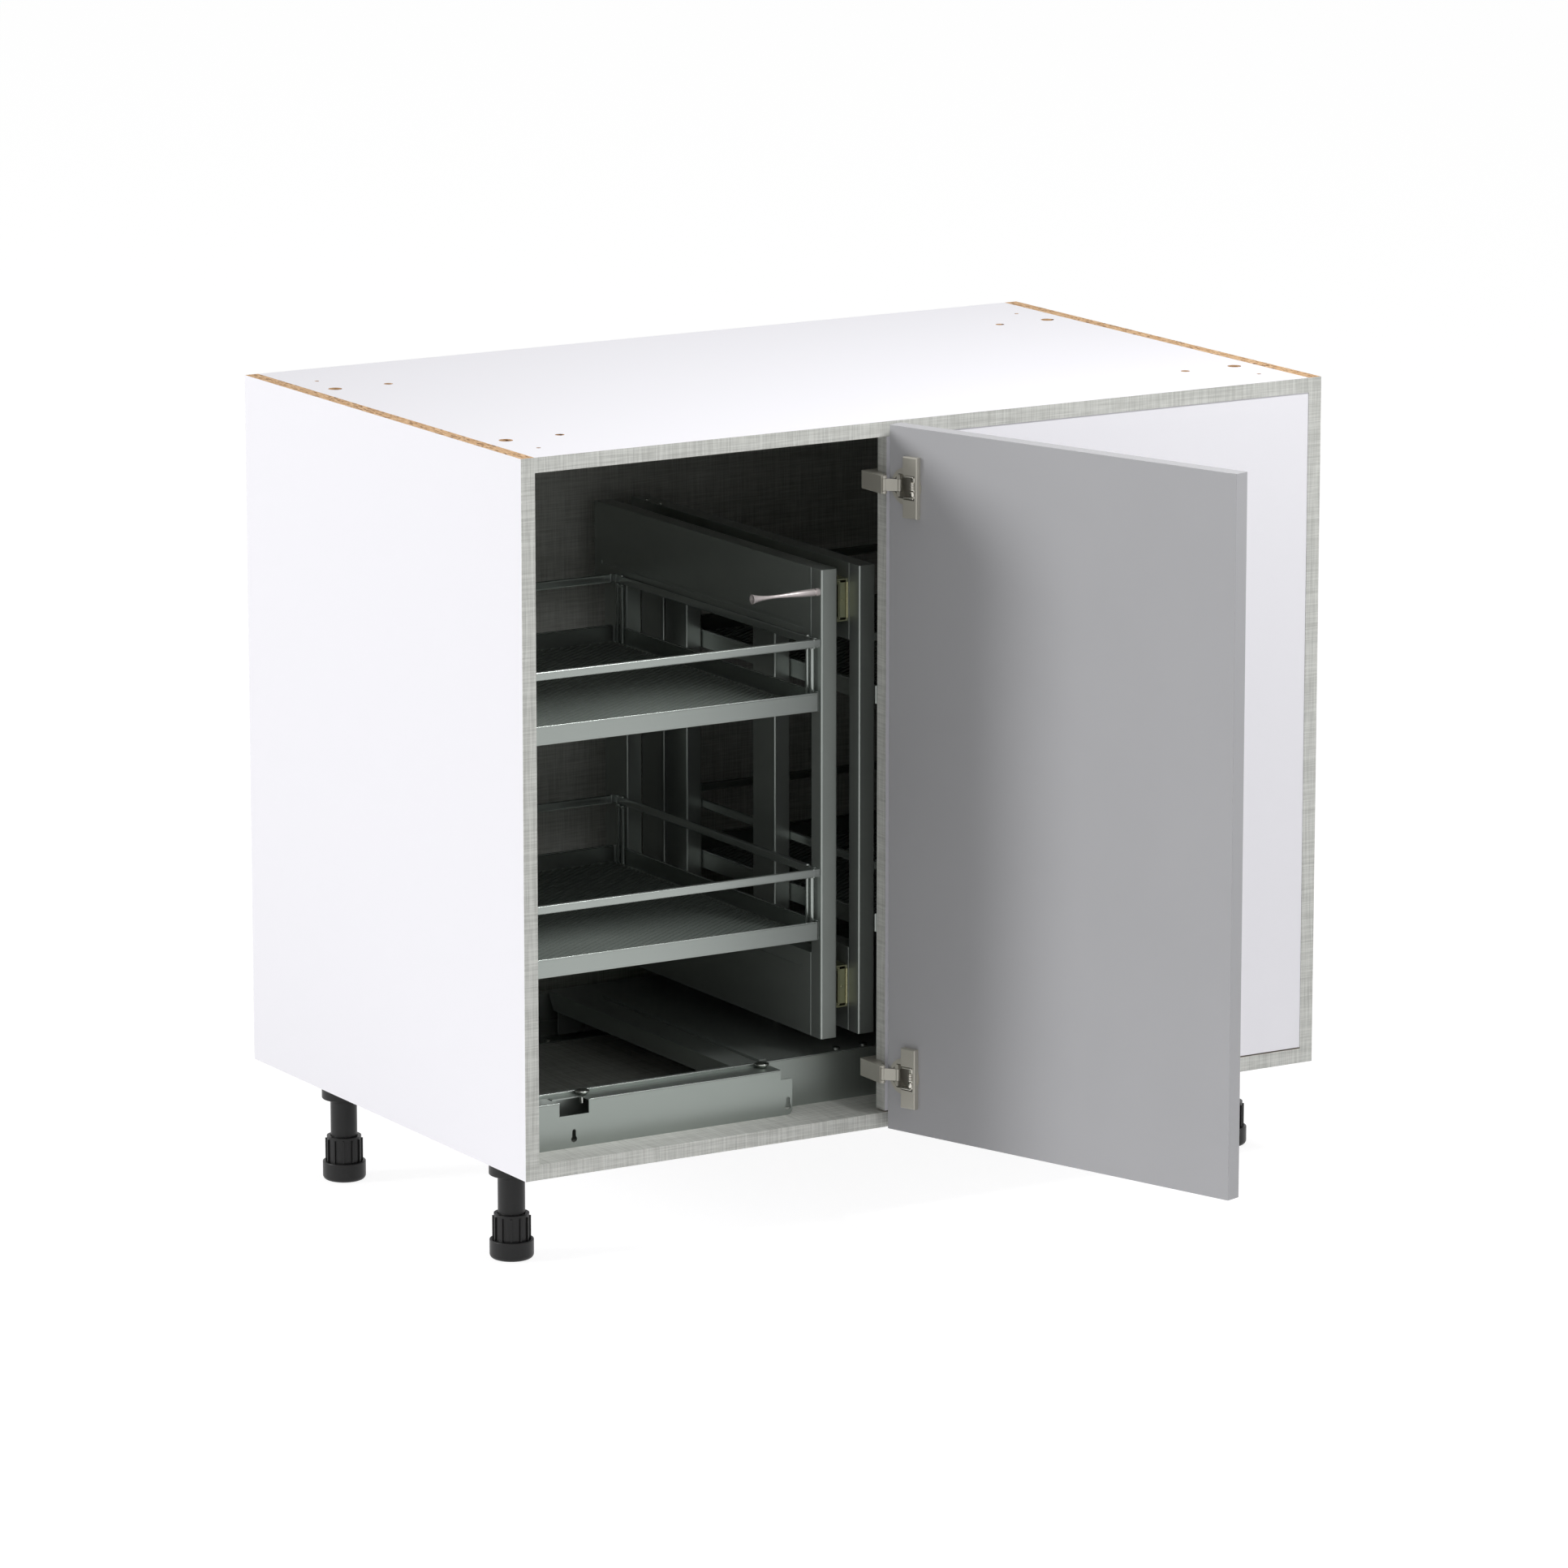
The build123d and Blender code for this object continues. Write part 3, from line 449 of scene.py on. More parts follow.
def finishes() -> dict[Surface, Material]:
    """Make every material of the cabinet.

    Returns:
        The materials by finish.
    """
    left, right = (-1.0, 0.0, 0.0), (1.0, 0.0, 0.0)
    front, back = (0.0, -1.0, 0.0), (0.0, 1.0, 0.0)
    down, up = (0.0, 0.0, -1.0), (0.0, 0.0, 1.0)
    plans = {
        Surface.SIDE_LEFT: BoardFinish("melamine_side_left", left, right),
        Surface.SIDE_RIGHT: BoardFinish("melamine_side_right", right, left),
        Surface.TOP: BoardFinish("melamine_top", up, down),
        Surface.BOTTOM: BoardFinish("melamine_bottom", down, up),
        Surface.BACK: BoardFinish("melamine_back", back, front),
        Surface.BLIND: BoardFinish("melamine_blind", front, back),
        Surface.BAND: BandFinish("linen_edge_band"),
        Surface.DOWEL: WoodFinish("beech"),
        # Satin lacquer on the door: even grey with a soft, wide sheen.
        Surface.DOOR: CoatFinish("satin_lacquer", "#aeaeb1", "#acacaf", 0.42, grain=1.2 * MM),
        # Moulded black plastic of the legs: nearly black, with a soft grey highlight.
        Surface.LEG: CoatFinish("black_abs", "#151515", "#131314", 0.4, grain=0.5 * MM, ior=1.4),
        # Metallic powder coats of the pull-out: grey green, and darker where they mirror the inside.
        Surface.BASE: CoatFinish("metallic_coat_base", "#9ba19d", "#979e99", 0.34, metallic=0.75),
        Surface.CARRIAGE: CoatFinish("metallic_coat_carriage", "#939995", "#8f9591", 0.4, metallic=0.6),
        Surface.FRAME: CoatFinish("metallic_coat_frame", "#a2a8a4", "#9ea4a0", 0.32, metallic=0.65),
        Surface.TRAY: CoatFinish("metallic_coat_tray", "#a0a6a2", "#9da39f", 0.3, metallic=0.85),
        Surface.GALLERY: CoatFinish("metallic_coat_gallery", "#a6aca8", "#a3a9a5", 0.22, metallic=0.75),
        # Rubber mat in the trays: dull dark grey.
        Surface.MAT: CoatFinish(
            "rubber_mat", "#7a817c", "#767d78", 0.6, grain=1.5 * MM, grain_depth=0.02 * MM
        ),
        # Satin nickel plate of the hinges, and its bright form on the small working parts.
        Surface.NICKEL: CoatFinish("satin_nickel", "#b9b6ac", "#b2afa5", 0.33, metallic=0.35),
        Surface.NICKEL_BRIGHT: CoatFinish("bright_nickel", "#d2cfc7", "#cbc8c0", 0.14, metallic=1.0),
        # Yellow passivated zinc of the runners: olive in the dark, brassy where it catches the light. The
        # beads take a paler, brassier copy of it, which is a painted highlight.
        Surface.YELLOW_ZINC: CoatFinish(
            "yellow_zinc", "#a09f7c", "#909378", 0.36, metallic=0.6, drift=25 * MM
        ),
        Surface.YELLOW_ZINC_PAINTED_HIGHLIGHT: CoatFinish("yellow_zinc_bead_painted_highlight", "#c4c09a", "#b6b490", 0.25, metallic=0.8),
        # Zinc plate of the screws, axles and rivets: bright, with a narrow highlight.
        Surface.SCREW: CoatFinish("zinc_plate", "#c6c9c4", "#b9bcb7", 0.25, metallic=1.0),
        # Acetal of the rollers: black, with a faint waxy sheen.
        Surface.ROLLER: CoatFinish("acetal", "#2b2b2b", "#272727", 0.4),
        # Satin nickel of the handle: warmer and paler than the coats round it.
        Surface.HANDLE: CoatFinish("satin_nickel_handle", "#ded5d4", "#d7cecd", 0.22, metallic=0.5),
    }
    return {surface: plan.build() for surface, plan in plans.items()}


def cleaned(bm: BMesh) -> None:
    """Merge the doubles of a copied node and dissolve the edges inside its flat faces."""
    bmesh.ops.remove_doubles(bm, verts=bm.verts, dist=COPY_SAME_POINT)
    bmesh.ops.dissolve_limit(
        bm, angle_limit=COPY_FLAT_ANGLE, use_dissolve_boundaries=False, verts=bm.verts, edges=bm.edges
    )


def round_edges(bm: BMesh, edge: float, segments: int = 2) -> None:
    """Bevel every edge whose faces meet at a clear angle.

    Args:
        bm: Mesh to change.
        edge: Width of the bevel.
        segments: Steps of the bevel.
    """
    bmesh.ops.bevel(
        bm,
        geom=[e for e in bm.edges if len(e.link_faces) == 2 and e.calc_face_angle(0.0) > ROUNDED_ANGLE],
        offset=edge,
        offset_type="OFFSET",
        segments=segments,
        profile=0.5,
        affect="EDGES",
        clamp_overlap=True,
        material=-1,
    )


def rounded_bar(low: Iterable[float], high: Iterable[float], edge: float, segments: int = 2) -> BMesh:
    """Make a block between two corners with rounded edges.

    Args:
        low: Lowest corner.
        high: Highest corner.
        edge: Radius of the edges.
        segments: Steps of the rounding.

    Returns:
        The block.
    """
    low, high = Vector(low), Vector(high)
    bm = bmesh.new()
    bmesh.ops.create_cube(bm, size=1.0)
    bmesh.ops.scale(bm, vec=high - low, verts=bm.verts)
    bmesh.ops.translate(bm, vec=(low + high) / 2, verts=bm.verts)
    round_edges(bm, edge, segments)
    return bm


def turned(outline: Iterable[Span], steps: int = 24) -> BMesh:
    """Turn an outline about the z axis.

    Args:
        outline: Pairs of radius and height, from the axis or a rim to the other end.
        steps: Faces round the axis.

    Returns:
        The turned shape.
    """
    bm = bmesh.new()
    verts = [bm.verts.new((radius, 0.0, height)) for radius, height in outline]
    edges = [bm.edges.new(pair) for pair in zip(verts, verts[1:])]
    bmesh.ops.spin(
        bm, geom=verts + edges, cent=(0, 0, 0), axis=(0, 0, 1), angle=math.tau, steps=steps, use_merge=True
    )
    bmesh.ops.remove_doubles(bm, verts=bm.verts, dist=SAME_POINT)
    bmesh.ops.recalc_face_normals(bm, faces=bm.faces)
    return bm


def dome(diameter: float, height: float, rim: float) -> BMesh:
    """Make a low round head that stands on the xy plane.

    Args:
        diameter: Diameter of the head.
        height: Its height.
        rim: Height of its upright rim.

    Returns:
        The head.
    """
    radius = diameter / 2
    arc = [math.radians(angle) for angle in DOME_ANGLES]
    crown = [(radius * math.cos(a), rim + (height - rim) * math.sin(a)) for a in arc]
    return turned([(0.0, 0.0), (radius, 0.0), *crown[:-1], (0.0, height)])


def ring(diameter: float, wire: float) -> BMesh:
    """Make a closed wire ring round the z axis.

    Args:
        diameter: Diameter of the wire's middle line.
        wire: Diameter of the wire.

    Returns:
        The ring.
    """
    turns = [math.tau * i / RING_SIDES for i in range(RING_SIDES + 1)]
    return turned((diameter / 2 + wire / 2 * math.cos(a), wire / 2 * math.sin(a)) for a in turns)


def joined(parts: Iterable[BMesh]) -> BMesh:
    """Put several meshes into one, and free them.

    Args:
        parts: The meshes.

    Returns:
        The whole.
    """
    whole = bmesh.new()
    for part in parts:
        mesh = bpy.data.meshes.new("part")
        part.to_mesh(mesh)
        part.free()
        whole.from_mesh(mesh)
        bpy.data.meshes.remove(mesh)
    return whole


def mesh_of(bm: BMesh, name: str) -> bpy.types.Mesh:
    """Turn a finished bmesh into a mesh that is smooth except at its sharp edges.

    Args:
        bm: Mesh to turn; it is freed.
        name: Name of the mesh.

    Returns:
        The mesh.
    """
    for face in bm.faces:
        face.smooth = True
    for edge in bm.edges:
        edge.smooth = len(edge.link_faces) == 2 and edge.calc_face_angle(0.0) < SHARP_ANGLE
    mesh = bpy.data.meshes.new(name)
    bm.to_mesh(mesh)
    bm.free()
    if "custom_normal" in mesh.attributes:
        mesh.attributes.remove(mesh.attributes["custom_normal"])
    return mesh


def new_object(name: str, data: bpy.types.ID) -> bpy.types.Object:
    """Make an object and link it to the scene.

    Args:
        name: Name of the object.
        data: Its mesh, light or camera.

    Returns:
        The object.
    """
    made = bpy.data.objects.new(name, data)
    bpy.context.scene.collection.objects.link(made)
    return made


@dataclass
class Workshop:
    """The loaded frame with its materials, and how a piece is dressed and put in its place."""

    frame: dict
    surfaces: dict[Surface, Material]
    body_of: dict[str, str] = field(default_factory=dict)
    slot_of: dict[str, str] = field(default_factory=dict)

    def __post_init__(self) -> None:
        """Look up the body and the finish slot of every node."""
        record = self.frame["record"]
        for body, nodes in record["behaviour"]["bodies"].items():
            for node in nodes:
                self.body_of[node] = body
        for part in record["subparts"]:
            self.slot_of[part["node"]] = part["material_slot"]

    def paint(self, node: str, surface: Surface) -> None:
        """Give a node of the frame its material.

        Args:
            node: Name of the node.
            surface: Its finish.
        """
        mesh = self.frame["nodes"][node].data
        mesh.materials.clear()
        mesh.materials.append(self.surfaces[surface])
        LOG.info("painted %s", node)

    def place(self, name: str, bm: BMesh, surface: Surface, like: str) -> bpy.types.Object:
        """Put a new piece in the scene with its material, on the body of a node.

        Args:
            name: Name of the piece.
            bm: Its shape, in the model's frame; it is freed.
            surface: Its finish.
            like: Node whose body it shares.

        Returns:
            The piece.
        """
        mesh = mesh_of(bm, name)
        mesh.materials.append(self.surfaces[surface])
        piece = new_object(name, mesh)
        piece.modifiers.new("even_shading", "WEIGHTED_NORMAL").keep_sharp = True
        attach(piece, self.body_of[like])
        LOG.info("placed %s", name)
        return piece

    def soften(self, node: str, surface: Surface, edge: float, segments: int = 2) -> None:
        """Replace a node by a copy with rounded edges, so that its edges catch the light.

        Args:
            node: Name of the node.
            surface: Its finish.
            edge: Radius of the rounding.
            segments: Steps of the rounding.
        """
        bm = bmesh.new()
        bm.from_mesh(self.frame["nodes"][node].data)
        cleaned(bm)
        round_edges(bm, edge, segments)
        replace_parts(self.place(f"{node}_finished", bm, surface, node), node)


@dataclass
class Carcass:
    """Boards, bands and dowels of the cabinet."""

    finishes: tuple[tuple[str, Surface], ...] = (
        ("side_left", Surface.SIDE_LEFT),
        ("side_right", Surface.SIDE_RIGHT),
        ("top_board", Surface.TOP),
        ("bottom_board", Surface.BOTTOM),
        ("back_panel", Surface.BACK),
        ("blind_panel", Surface.BLIND),
        ("edge_bands", Surface.BAND),
        ("board_dowels", Surface.DOWEL),
    )

    def build(self, shop: Workshop) -> None:
        """Paint the boards, which keep their sawn edges, and their edge bands."""
        for node, surface in self.finishes:
            shop.paint(node, surface)


@dataclass
class Legs:
    """Four levelling legs of black plastic."""

    corners: tuple[str, ...] = ("front_left", "front_right", "rear_left", "rear_right")
    edge: float = 0.4 * MM

    def build(self, shop: Workshop) -> None:
        """Round the edges of the sockets, tubes and feet."""
        for node in ("leg_sockets", "leg_tubes", *[f"leg_foot_{corner}" for corner in self.corners]):
            shop.soften(node, Surface.LEG, self.edge)


@dataclass
class Door:
    """Door board with its two concealed hinges.

    Places on the door are given for the closed door, in millimetres from the carcass's corner, with
    heights above or below the middle of a hinge. The door itself stands open.
    """

    levels: tuple[str, ...] = ("lower", "upper")
    edge: float = 0.35 * MM
    door_edge: float = 0.4 * MM
    open_angle: float = math.radians(108.6)
    closed_pin: Span = (443.723, -3.999)
    housing_x: Span = (417.6, 424.0)
    housing_y: Span = (-9.0, 3.0)
    housing_half: float = 11.6
    housing_edge: float = 1.6
    cheek_x: Span = (419.0, 432.5)
    cheek_y: Span = (-4.0, 4.2)
    cheek_z: Span = (10.2, 12.4)
    cheek_edge: float = 0.9
    spring_turns: int = 5
    spring_pitch: float = 1.7
    spring_size: float = 5.4
    spring_wire: float = 1.3
    spring_z: float = 2.0
    spring_sunk: float = 0.6
    screw_size: float = 6.4
    screw_height: float = 2.2
    screw_rim: float = 0.8
    screw_from_end: float = 5.2

    def swing(self) -> Matrix:
        """Find how the closed door turns to where it stands, from the two places of its hinge pins.

        Returns:
            The turn, for a shape in metres round the carcass's corner.
        """
        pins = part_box("hinge_cup_pins")
        open_pin = Vector(((pins[0][0] + pins[1][0]) / 2, (pins[0][1] + pins[1][1]) / 2, 0.0))
        closed = Vector((*self.closed_pin, 0.0)) * MM
        turn = Matrix.Rotation(self.open_angle, 4, "Z")
        return Matrix.Translation(open_pin) @ turn @ Matrix.Translation(-closed)

    def mechanism(self) -> BMesh:
        """Make the sprung works that show in the window of a hinge's cover.

        Returns:
            The works, in metres round the carcass's corner, with the hinge's middle at height zero.
        """
        (x_low, x_high), (y_low, y_high) = self.housing_x, self.housing_y
        half = self.housing_half
        middle_x = (x_low + x_high) / 2
        low, high = Vector((x_low, y_low, -half)), Vector((x_high, y_high, half))
        parts = [rounded_bar(low * MM, high * MM, self.housing_edge * MM, segments=3)]
        for side in (-1, 1):
            z_ends = sorted(side * z for z in self.cheek_z)
            low, high = (Vector(corner) for corner in zip(self.cheek_x, self.cheek_y, z_ends))
            parts.append(rounded_bar(low * MM, high * MM, self.cheek_edge * MM, segments=3))
        for turn in range(self.spring_turns):
            coil = ring(self.spring_size * MM, self.spring_wire * MM)
            z = self.spring_z + (turn - (self.spring_turns - 1) / 2) * self.spring_pitch
            place = Vector((middle_x, y_high - self.spring_sunk, z)) * MM
            bmesh.ops.translate(coil, vec=place, verts=coil.verts)
            parts.append(coil)
        screw = dome(self.screw_size * MM, self.screw_height * MM, self.screw_rim * MM)
        place = Vector((middle_x, y_high, self.screw_from_end - half)) * MM
        screw.transform(Matrix.Translation(place) @ UP_TO_BACK)
        parts.append(screw)
        return joined(parts)

    def build(self, shop: Workshop) -> None:
        """Round the edges of the door and its hinges, and add the works of the hinges.

        Args:
            shop: Workshop that dresses the pieces.
        """
        shop.soften("door_panel", Surface.DOOR, self.door_edge)
        swing = self.swing()
        for level in self.levels:
            for part in ("arm", "link", "cup"):
                shop.soften(f"hinge_{part}_{level}", Surface.NICKEL, self.edge)
            works = self.mechanism()
            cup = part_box(f"hinge_cup_{level}")
            works.transform(Matrix.Translation((0.0, 0.0, (cup[0][2] + cup[1][2]) / 2)) @ swing)
            shop.place(f"hinge_works_{level}", works, Surface.NICKEL_BRIGHT, f"hinge_cup_{level}")
        shop.soften("hinge_plates", Surface.NICKEL, self.edge)
        for node in ("hinge_arm_pins", "hinge_cup_pins", "hinge_screws"):
            shop.paint(node, Surface.NICKEL_BRIGHT)


@dataclass
class BaseFrame:
    """Rails, bracket and carriage on the cabinet's floor."""

    edge: float = 0.8 * MM
    wire: float = 2.0 * MM
    wire_edge: float = 0.9 * MM
    proud: float = 0.25 * MM
    bracket_notch: Span = (49.5 * MM, 85 * MM)
    bracket_step: float = 14.5 * MM

    def rolled_edge(self, node: str, start: float, end: float) -> BMesh:
        """Make the rolled top edge of an upright sheet, along its front.

        Args:
            node: Node of the sheet.
            start: Distance of its left end from the node's left end.
            end: Distance of its right end from the node's left end.

        Returns:
            The edge in the model's frame.
        """
        low, high = (Vector(corner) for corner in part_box(node))
        near = (low.x + start, low.y - self.proud, high.z + self.proud - self.wire)
        far = (low.x + end, low.y - self.proud + self.wire, high.z + self.proud)
        return rounded_bar(near, far, self.wire_edge, segments=3)

    def build(self, shop: Workshop) -> None:
        """Round the edges of the sheet parts and paint the small ones.

        Args:
            shop: Workshop that dresses the pieces.
        """
        for node in ("base_rail_front", "base_rail_rear", "front_bracket"):
            shop.soften(node, Surface.BASE, self.edge)
        rail, bracket = (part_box(node) for node in ("base_rail_front", "front_bracket"))
        spans = (
            ("base_rail_front", 0.0, rail[1][0] - rail[0][0]),
            ("front_bracket", 0.0, self.bracket_notch[0]),
            ("front_bracket", self.bracket_notch[1], bracket[1][0] - bracket[0][0] - self.bracket_step),
        )
        for number, (node, start, end) in enumerate(spans):
            shop.place(f"rolled_edge_{number}", self.rolled_edge(node, start, end), Surface.GALLERY, node)
        shop.soften("carriage", Surface.CARRIAGE, self.edge)
        shop.soften("bracket_screws", Surface.SCREW, self.edge)
        for node in ("base_rail_screws", "carriage_screws", "carriage_axles"):
            shop.paint(node, Surface.SCREW)
        shop.paint("carriage_rollers", Surface.ROLLER)


@dataclass
class Frames:
    """Front frame, support frame and handle."""

    members: tuple[str, ...] = ("post_front", "post_rear", "band_top", "band_low")
    edge: float = 1.4 * MM
    band_edge: float = 0.8 * MM
    handle_edge: float = 0.3 * MM
    cap_thickness: float = 1.2 * MM
    cap_inset: float = 0.4 * MM
    stud_diameter: float = 4.4 * MM
    stud_height: float = 4.5 * MM
    stud_rim: float = 3.5 * MM
    stud_drops: tuple[float, ...] = (27.5 * MM, 45.5 * MM)
    rivet_diameter: float = 4.5 * MM
    rivet_height: float = 1.6 * MM
    rivet_rim: float = 0.3 * MM
    rivet_from_end: tuple[float, ...] = (26 * MM, 56 * MM)

    def end_cap(self, node: str) -> BMesh:
        """Make the cap that closes the open rear end of a band, with two studs near its outer face.

        Args:
            node: Band whose end it closes.

        Returns:
            The cap in the model's frame.
        """
        low, high = (Vector(corner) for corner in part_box(node))
        inset = self.cap_inset
        cap_low = (low.x + inset, high.y, low.z + inset)
        cap_high = (high.x - inset, high.y + self.cap_thickness, high.z - inset)
        parts = [rounded_bar(cap_low, cap_high, self.cap_thickness / 3)]
        stud_x = low.x + self.stud_diameter / 2 + inset
        for drop in self.stud_drops:
            stud = dome(self.stud_diameter, self.stud_height, self.stud_rim)
            place = Vector((stud_x, high.y + self.cap_thickness, high.z - drop))
            stud.transform(Matrix.Translation(place) @ UP_TO_BACK)
            parts.append(stud)
        return joined(parts)

    def rivets(self, node: str) -> BMesh:
        """Make two rivets on the upper side of a band, near its rear end.

        Args:
            node: Band that carries them.

        Returns:
            The rivets in the model's frame.
        """
        low, high = (Vector(corner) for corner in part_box(node))
        parts = []
        for distance in self.rivet_from_end:
            rivet = dome(self.rivet_diameter, self.rivet_height, self.rivet_rim)
            place = Vector((low.x + self.rivet_diameter, high.y - distance, high.z))
            bmesh.ops.translate(rivet, vec=place, verts=rivet.verts)
            parts.append(rivet)
        return joined(parts)

    def build(self, shop: Workshop) -> None:
        """Round the edges of the frames and the handle, and add caps and rivets to the bands.

        Args:
            shop: Workshop that dresses the pieces.
        """
        for prefix in ("front", "support"):
            for member in self.members:
                edge = self.edge if member.startswith("post") else self.band_edge
                shop.soften(f"{prefix}_frame_{member}", Surface.FRAME, edge, segments=3)
            for member in ("band_top", "band_low"):
                node = f"{prefix}_frame_{member}"
                shop.place(f"{node}_end_cap", self.end_cap(node), Surface.FRAME, node)
        band = "support_frame_band_top"
        shop.place(f"{band}_rivets", self.rivets(band), Surface.SCREW, band)
        shop.soften("support_uprights", Surface.FRAME, self.edge, segments=3)
        shop.soften("support_feet", Surface.FRAME, self.edge)
        shop.soften("pull_handle", Surface.HANDLE, self.handle_edge)


@dataclass
class Runners:
    """Telescopic runners: end stops on the middle members and beads on the outer ones."""

    edge: float = 0.4 * MM
    height: float = 46 * MM
    stop_right_gap: float = 2.0 * MM
    stop_width: float = 9.0 * MM
    stop_half: float = 19 * MM
    stop_thickness: float = 1.2 * MM
    dot_diameter: float = 3.0 * MM
    dot_height: float = 0.9 * MM
    dot_rim: float = 0.3 * MM
    bead_radius: float = 1.3 * MM
    bead_neck: float = 0.91 * MM
    bead_slope: float = 0.52 * MM
    bead_inset: Span = (0.78 * MM, 0.52 * MM)
    bead_half: float = 19.5 * MM
    bead_steps: int = 16

    def stop(self, front_right: Vector) -> BMesh:
        """Make the end stop of a middle member, with a dot in its middle.

        Args:
            front_right: Middle of the outer member's front right edge.

        Returns:
            The stop in the model's frame.
        """
        right = front_right.x - self.stop_right_gap
        low = (right - self.stop_width, front_right.y, front_right.z - self.stop_half)
        high = (right, front_right.y + self.stop_thickness, front_right.z + self.stop_half)
        dot = dome(self.dot_diameter, self.dot_height, self.dot_rim)
        place = Vector((right - self.stop_width / 2, front_right.y, front_right.z))
        dot.transform(Matrix.Translation(place) @ UP_TO_FRONT)
        return joined([rounded_bar(low, high, self.stop_thickness / 3), dot])

    def bead(self, front_right: Vector) -> BMesh:
        """Make the rolled bead at the front edge of an outer member.

        Args:
            front_right: Middle of the outer member's front right edge.

        Returns:
            The bead in the model's frame.
        """
        radius, neck, half = self.bead_radius, self.bead_neck, self.bead_half
        shoulder = half - self.bead_slope
        outline = [(0.0, -half), (neck, -half), (radius, -shoulder)]
        outline += [(r, -z) for r, z in reversed(outline)]
        bead = turned(outline, self.bead_steps)
        place = front_right - Vector((*self.bead_inset, 0.0))
        bmesh.ops.translate(bead, vec=place, verts=bead.verts)
        return bead

    def build(self, shop: Workshop) -> None:
        """Round the edges of the members and add the stops and beads.

        Args:
            shop: Workshop that dresses the pieces.
        """
        for member in ("outer", "middle", "inner"):
            shop.soften(f"runners_{member}", Surface.YELLOW_ZINC, self.edge)
        low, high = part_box("runners_outer")
        for name, z in (("lower", low[2] + self.height / 2), ("upper", high[2] - self.height / 2)):
            front_right = Vector((high[0], low[1], z))
            shop.place(f"runner_stop_{name}", self.stop(front_right), Surface.YELLOW_ZINC, "runners_middle")
            bead = self.bead(front_right)
            # The bead's paler, brassier zinc is a painted highlight.
            shop.place(f"runner_bead_{name}", bead, Surface.YELLOW_ZINC_PAINTED_HIGHLIGHT, "runners_outer")


@dataclass
class Trays:
    """Trays with their ribbed mats and galleries, in front and behind.

    The ribs of the real mats are about 4 mm apart. They are drawn 7 mm apart, so that they show. Places of
    the rods, hooks and clips are given inwards from a gallery's corner and upwards from its top.
    """

    edge: float = 1.3 * MM
    rim_edge: float = 0.72 * MM
    mat_base: float = 0.6 * MM
    mat_height: float = 2.0 * MM
    mat_edge: float = 0.3 * MM
    rib_pitch: float = 7.0 * MM
    rib_width: float = 3.0 * MM
    rib_turn: float = math.radians(35)
    corner: float = 5.0 * MM
    rail_height: float = 9.0 * MM
    rail_width: float = 4.0 * MM
    rail_proud: float = 0.1 * MM
    rim_width: float = 1.5 * MM
    rim_drop: float = 57.5 * MM
    rim_proud: float = 0.3 * MM
    bar_rounding: float = 0.4
    rod_x: float = 4.0 * MM
    rod_y: float = 21.0 * MM
    head_diameter: float = 4.4 * MM
    head_height: float = 2.4 * MM
    head_rim: float = 0.6 * MM
    hook_x: Span = (0.6 * MM, 7.4 * MM)
    hook_y: Span = (10.0 * MM, 24.0 * MM)
    hook_z: Span = (-12.0 * MM, -10.0 * MM)
    hook_edge: float = 2 / 3 * MM
    clip_width: Span = (7.0 * MM, 9.5 * MM)
    clip_reach: Span = (0.0, 5.0 * MM)
    clip_z: Span = (-9.5 * MM, 0.5 * MM)
    clip_edge: float = 0.8 * MM

    def mat(self, low: Vector, high: Vector) -> BMesh:
        """Make a mat with slanting ribs between two corners.

        Args:
            low: Lowest corner.
            high: Highest corner.

        Returns:
            The mat in the model's frame.
        """
        ribs = bmesh.new()
        size = high - low
        reach = math.hypot(size.x, size.y)
        middle = (low + high) / 2
        count = int(reach / self.rib_pitch)
        crest = high.z - low.z - self.mat_base
        for i in range(-count // 2, count // 2 + 1):
            rib = bmesh.ops.create_cube(ribs, size=1.0)["verts"]
            bmesh.ops.scale(ribs, vec=(reach, self.rib_width, crest), verts=rib)
            bmesh.ops.translate(ribs, vec=(0.0, i * self.rib_pitch, 0.0), verts=rib)
        place = Matrix.Translation((middle.x, middle.y, high.z - crest / 2))
        ribs.transform(place @ Matrix.Rotation(self.rib_turn, 4, "Z"))
        for corner, side in ((low, -1), (high, 1)):
            for normal in ((side, 0, 0), (0, side, 0)):
                geometry = [*ribs.verts, *ribs.edges, *ribs.faces]
                cut = bmesh.ops.bisect_plane(
                    ribs, geom=geometry, dist=SAME_POINT, plane_co=corner, plane_no=normal, clear_outer=True
                )
                loops = [part for part in cut["geom_cut"] if isinstance(part, bmesh.types.BMEdge)]
                bmesh.ops.edgeloop_fill(ribs, edges=loops)
        base = rounded_bar(low, (high.x, high.y, low.z + self.mat_base), self.mat_edge, segments=1)
        return joined([base, ribs])

    def mats(self, node: str) -> BMesh:
        """Make the two mats that stand for a node of mats, one above the other.

        Args:
            node: The node.

        Returns:
            Both mats in the model's frame.
        """
        low, high = (Vector(corner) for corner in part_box(node))
        lower_top = Vector((high.x, high.y, low.z + self.mat_height))
        upper_low = Vector((low.x, low.y, high.z - self.mat_height))
        return joined([self.mat(low, lower_top), self.mat(upper_low, high)])

    def border(self, node: str, drop: float, height: float, width: float, proud: float) -> BMesh:
        """Make rounded bars along the four sides of a gallery's outline, between its corners.

        Args:
            node: The gallery.
            drop: Distance of the strip that they cover below the gallery's top.
            height: Height of the strip.
            width: Width of the strip.
            proud: How far they stand out from it on every side.

        Returns:
            The bars in the model's frame.
        """
        low, high = (Vector(corner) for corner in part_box(node))
        top = high.z - drop + proud
        tall, thick = height + 2 * proud, width + 2 * proud
        edge = min(thick, tall) * self.bar_rounding
        spans = []
        for y in (low.y - proud, high.y + proud - thick):
            spans.append(((low.x + self.corner, y), (high.x - self.corner, y + thick)))
        for x in (low.x - proud, high.x + proud - thick):
            spans.append(((x, low.y + self.corner), (x + thick, high.y - self.corner)))
        return joined(rounded_bar((*near, top - tall), (*far, top), edge, segments=3) for near, far in spans)

